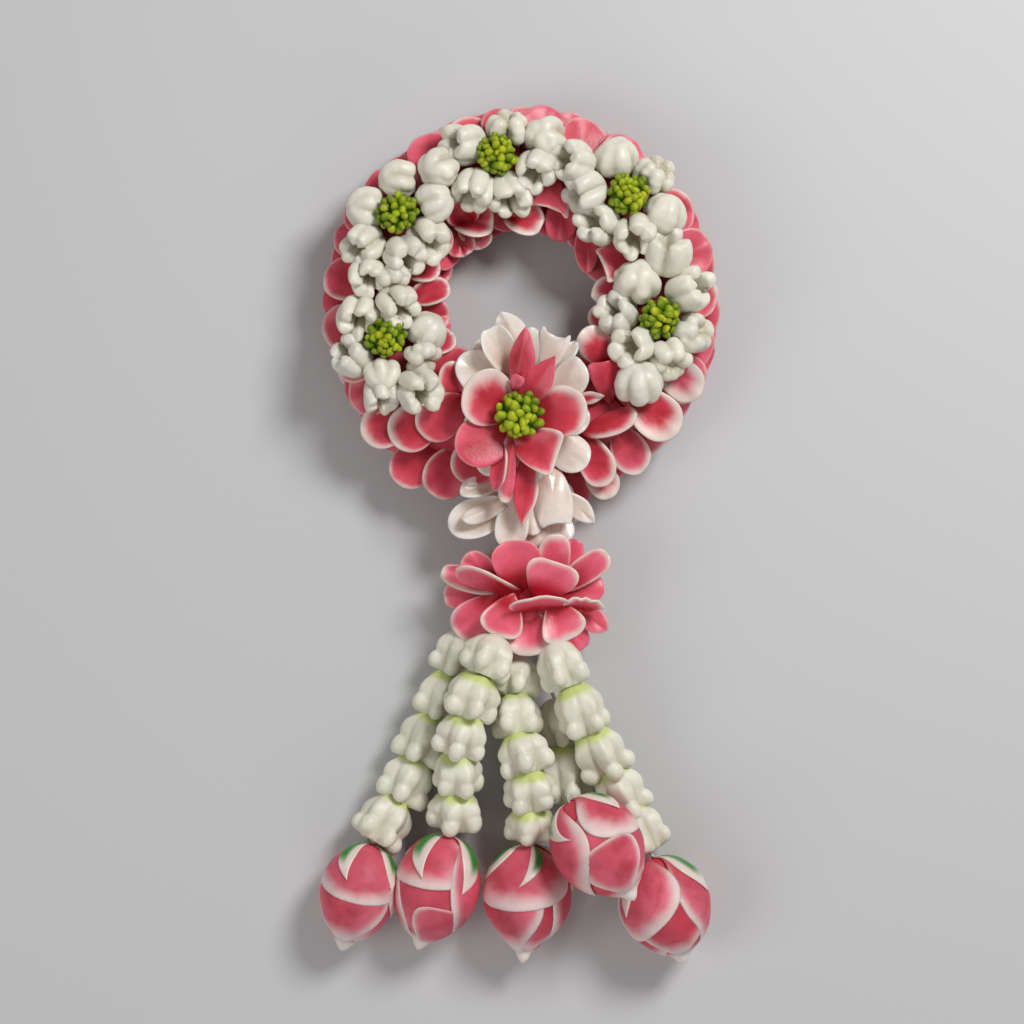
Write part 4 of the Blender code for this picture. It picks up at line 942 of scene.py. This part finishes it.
# Rosebuds
def wrapped(heap, bud, outline, theta, spread, first, last, lift, lean, rise=0.25, **paint):
    """A petal on a bud, centred on an angle from the viewer's side, between two shares of its length."""
    top, tip, widest, slim = bud
    axis = unit(tip - top)
    length = np.linalg.norm(tip - top)
    side = unit(np.cross(axis, UP))
    front = np.cross(side, axis)

    def surface(u, v):
        share = first + (last - first) * v
        angle = math.radians(theta) + np.radians(spread / 2) * u + lean * v * v
        raised = 0.6 * lift + rise * (u * u + (2 * v - 1) ** 2).clip(0, 1.4) ** 2 * 0.5
        radius = bud_radius(share, widest, slim) + raised * (1 - 0.85 * smooth(0.74, 1, share))
        return (top + (share * length)[:, None] * axis + (radius * np.cos(angle))[:, None] * front
                + (radius * np.sin(angle))[:, None] * side)

    sheet(heap, surface, outline, WRAP_THICKNESS, sides=48, **paint)


def bud_radius(share, widest, slim):
    """A bud's radius along its length; slim draws its lower part in."""
    share = np.clip(share, 0, 1)
    egg = np.sin(np.pi * share ** 0.93).clip(0, 1) ** 0.5
    return widest * egg * (1 - slim * smooth(0.6, 1, share))


NUB = 2.4
WRAP_THICKNESS = 0.6
WRAP_DEPTH = 0.95
SEPAL_LIFT = 1.8

# The dressed buds: top, tip, widest radius and slimness, pressed together a little as in the photograph
DRESSED_BUDS = (
    ((-37.4, -135.6, 10), (-44.4, -160, 9.6), 10, 0),
    ((-17.6, -133.2, 11.6), (-25.2, -159.5, 11), 11, 0.06),
    ((2.4, -135.4, 10.9), (0.6, -162.8, 10.6), 11.3, 0.3),
    ((12, -123.9, 21.2), (26.9, -146, 24.8), 11.6, 0.06),
    ((32.6, -138.8, 11.4), (40.3, -163, 11.2), 11.5, 0),
)

# Each bud's petals, inner ones first, and its sepals. Angles run from the viewer's side, positive to the
# left of the bud as it points down. A petal has angle, spread, first share, last share, lift, lean, rim
# width and fullness, and a sepal has angle, spread, last share, lean and its green side.
BACK = (-150, 200, 0.0, 0.96, 0.0, 0.2, 0.14, 0.3)
SIDE = (150, 150, 0.0, 0.7, 0.8, 0.0, 0.2, 0.3)
UNSEEN = (140, 60, 0.4, 0.0, 1), (-140, 60, 0.4, 0.0, -1)
WRAPS = (
    (BACK, (-70, 150, 0, 0.95, 0.3, 0.3, 0.14, 0.3), (22, 150, 0.1, 1, 0.6, -0.2, 0.14, 0.2), SIDE,
     (-120, 140, 0, 0.66, 1, 0, 0.2, 0.3), (10, 190, -0.02, 0.55, 1, 0, 0.2, 0.3)),
    (BACK, (0, 120, 0.2, 0.97, 0.1, 0, 0.04, 0.2), (124, 100, 0.1, 1.01, 0.5, -1, 0.14, 0.4),
     (-34, 116, 0.62, 1.03, 1, 0.1, 0.14, 0.5), SIDE, (38, 170, -0.02, 0.49, 0.9, 0, 0.24, 0.3),
     (-80, 130, -0.02, 0.9, 1.1, -0.5, 0.12, 0.5)),
    (BACK, (-30, 140, 0.1, 0.97, 0.2, 0.2, 0.14, 0.2), (40, 120, 0.1, 1, 0.5, -0.1, 0.16, 0.3), SIDE,
     (-92, 110, 0, 0.84, 0.8, 0, 0.14, 0.5), (14, 170, -0.02, 0.57, 1.1, 0.2, 0.26, 0.3)),
    (BACK, (-50, 150, 0.1, 0.96, 0.2, 0.2, 0.1, 0.2), (-8, 96, 0.5, 1.02, 0.9, 0.1, 0.18, 0.4), SIDE,
     (-66, 130, -0.02, 0.56, 0.8, 0.1, 0.26, 0.3), (70, 134, -0.02, 0.84, 1.1, 0.4, 0.2, 0.2)),
    (BACK, (60, 150, 0.1, 0.96, 0.2, 0.2, 0.14, 0.2), (-4, 120, 0.2, 1, 0.5, 0, 0.16, 0.2), SIDE,
     (-74, 116, -0.02, 0.92, 0.8, -0.3, 0.12, 0.4), (34, 126, -0.02, 0.72, 1.1, 0.5, 0.2, 0.3)),
)
SEPALS = (
    ((52, 60, 0.36, -0.55, 1), (-58, 56, 0.36, 0.1, -1), *UNSEEN),
    ((52, 56, 0.4, -0.55, 1), (-56, 60, 0.45, 0.35, -1), *UNSEEN),
    ((-16, 36, 0.36, 0.5, -1), (68, 60, 0.36, 0.25, 1), (-86, 60, 0.4, 0, -1), (160, 60, 0.4, 0, 1)),
    ((70, 56, 0.32, -0.8, 1), (-66, 66, 0.32, 0.1, -1), *UNSEEN),
    ((56, 50, 0.46, 0.1, 1), (-62, 66, 0.46, -0.2, -1), (112, 56, 0.66, -0.2, 1), (-150, 60, 0.4, 0, -1)),
)


def margin(side):
    """The pale part of a sepal: its inner side and its tip, where side tells the green one."""
    def painted(u, v):
        place = side * u / np.maximum(1 - v, 0.05) ** 0.75
        return 1 - smooth(-0.5, 0.05, place) * (1 - smooth(0.42, 0.72, v))
    return painted


def horn(angle):
    """A sepal's outline: broad at the root, drawn out to a narrow tip."""
    across, along = np.sin(angle), (1 - np.cos(angle)) / 2
    return np.sign(across) * np.abs(across) ** 0.5 * (1 - along) ** 0.75, along


def bud_core(heap, bud):
    """The bud's inner body, which ends in a small pale cone."""
    top, tip, widest, slim = bud
    reach = np.linalg.norm(tip - top)

    def shape(angle, share):
        radius = bud_radius(share * (reach + NUB) / reach * 0.99, widest, slim)
        nib = np.clip((1 - share) / 0.04, 0, 1) ** 0.5
        nib = nib + 4.6 * (1 - 1.1 * slim) * np.clip((1 - share) / 0.2, 0, 1) ** 1.4
        return np.maximum(radius, nib * smooth(0.82, 0.88, share)), share * (reach + NUB)

    def paint(angle, share):
        return smooth(0.82, 0.93, share), 0.3 * (1 - share), 0

    lathe(heap, shape, top, tip - top, 48, 64, paint)


for number, (bud_top, bud_tip, widest, slim) in enumerate(DRESSED_BUDS, 1):
    bud = (np.array(bud_top) + RING, np.array(bud_tip) + RING, widest - WRAP_DEPTH, slim)
    heap = Heap()
    bud_core(heap, bud)
    for theta, spread, first, last, lift, lean, rim, full in WRAPS[number - 1]:
        outline = petal_outline(-0.1, 0.2, full=full)
        # deep and heart darken each petal's root and middle: partly its deeper colour and partly painted
        # shade in creases.
        wrapped(heap, bud, outline, theta, spread, first, last, lift, lean, rim_width=rim, rim_bias=0.5,
                rim_strength=0.8, root_bare=first < 0.4, bleach=(0.76, 0.97) if last > 0.98 else None,
                deep=0.45, heart=0.25, tint=vary(0, 0.6))
    heap.make("rosebud_%d" % number, BUD, ["bud_%d" % number], "pink_petal", wobbly=0.08)
    heap = Heap()
    for theta, spread, last, lean, green_side in SEPALS[number - 1]:
        wrapped(heap, bud, horn, theta, spread, -0.01, last, SEPAL_LIFT, lean, rise=0.15, deep=0.3,
                painted=margin(green_side))
    heap.make("calyx_%d" % number, LEAF, ["bud_sepals_%d" % number], "sepal_green", wobbly=0.06)

thread = thread_material()
for name in ("ring_thread", "tassel_threads"):
    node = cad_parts[name]
    node.data.materials.clear()
    node.data.materials.append(thread)

# Floor, light and camera
FLOOR_Z = -0.0002
FLOOR_REACH = 3
floor_mesh = bpy.data.meshes.new("floor")
corners = [(x * FLOOR_REACH, y * FLOOR_REACH, FLOOR_Z) for x, y in ((-1, -1), (1, -1), (1, 1), (-1, 1))]
floor_mesh.from_pydata(corners, [], [(0, 1, 2, 3)])
floor = add_object("floor", floor_mesh)
floor_paint, floor_tree, floor_shader = new_material("pale_floor")
feed(floor_tree, floor_shader, Base_Color=(0.58, 0.58, 0.59, 1), Roughness=0.6)
floor_mesh.materials.append(floor_paint)


def soft_light(name, place, size, power):
    """A round lamp that points at the middle of the frame."""
    lamp = bpy.data.lights.new(name, "AREA")
    lamp.shape = "DISK"
    lamp.size = size
    lamp.energy = power
    held = add_object(name, lamp)
    held.location = place
    held.rotation_mode = "QUATERNION"
    held.rotation_quaternion = (-Vector(place)).to_track_quat("-Z", "Y")


soft_light("key_light", (0.38, 0.42, 0.62), 0.28, 5.1)
soft_light("fill_light", (-0.6, -0.2, 0.6), 0.5, 1.7)
soft_light("low_light", (0.2, -0.7, 0.35), 0.5, 0.8)
world = bpy.data.worlds.new("studio")
world.use_nodes = True
sky = world.node_tree
feed(sky, sky.nodes["Background"], Color=(1, 0.985, 0.96, 1), Strength=0.22)
scene.world = world
scene.view_settings.view_transform = "Standard"

lens = bpy.data.cameras.new("camera")
lens.lens = LENS
lens.clip_start = 0.05
camera = add_object("camera", lens)
camera.location = Vector(CAMERA * MM)
scene.camera = camera
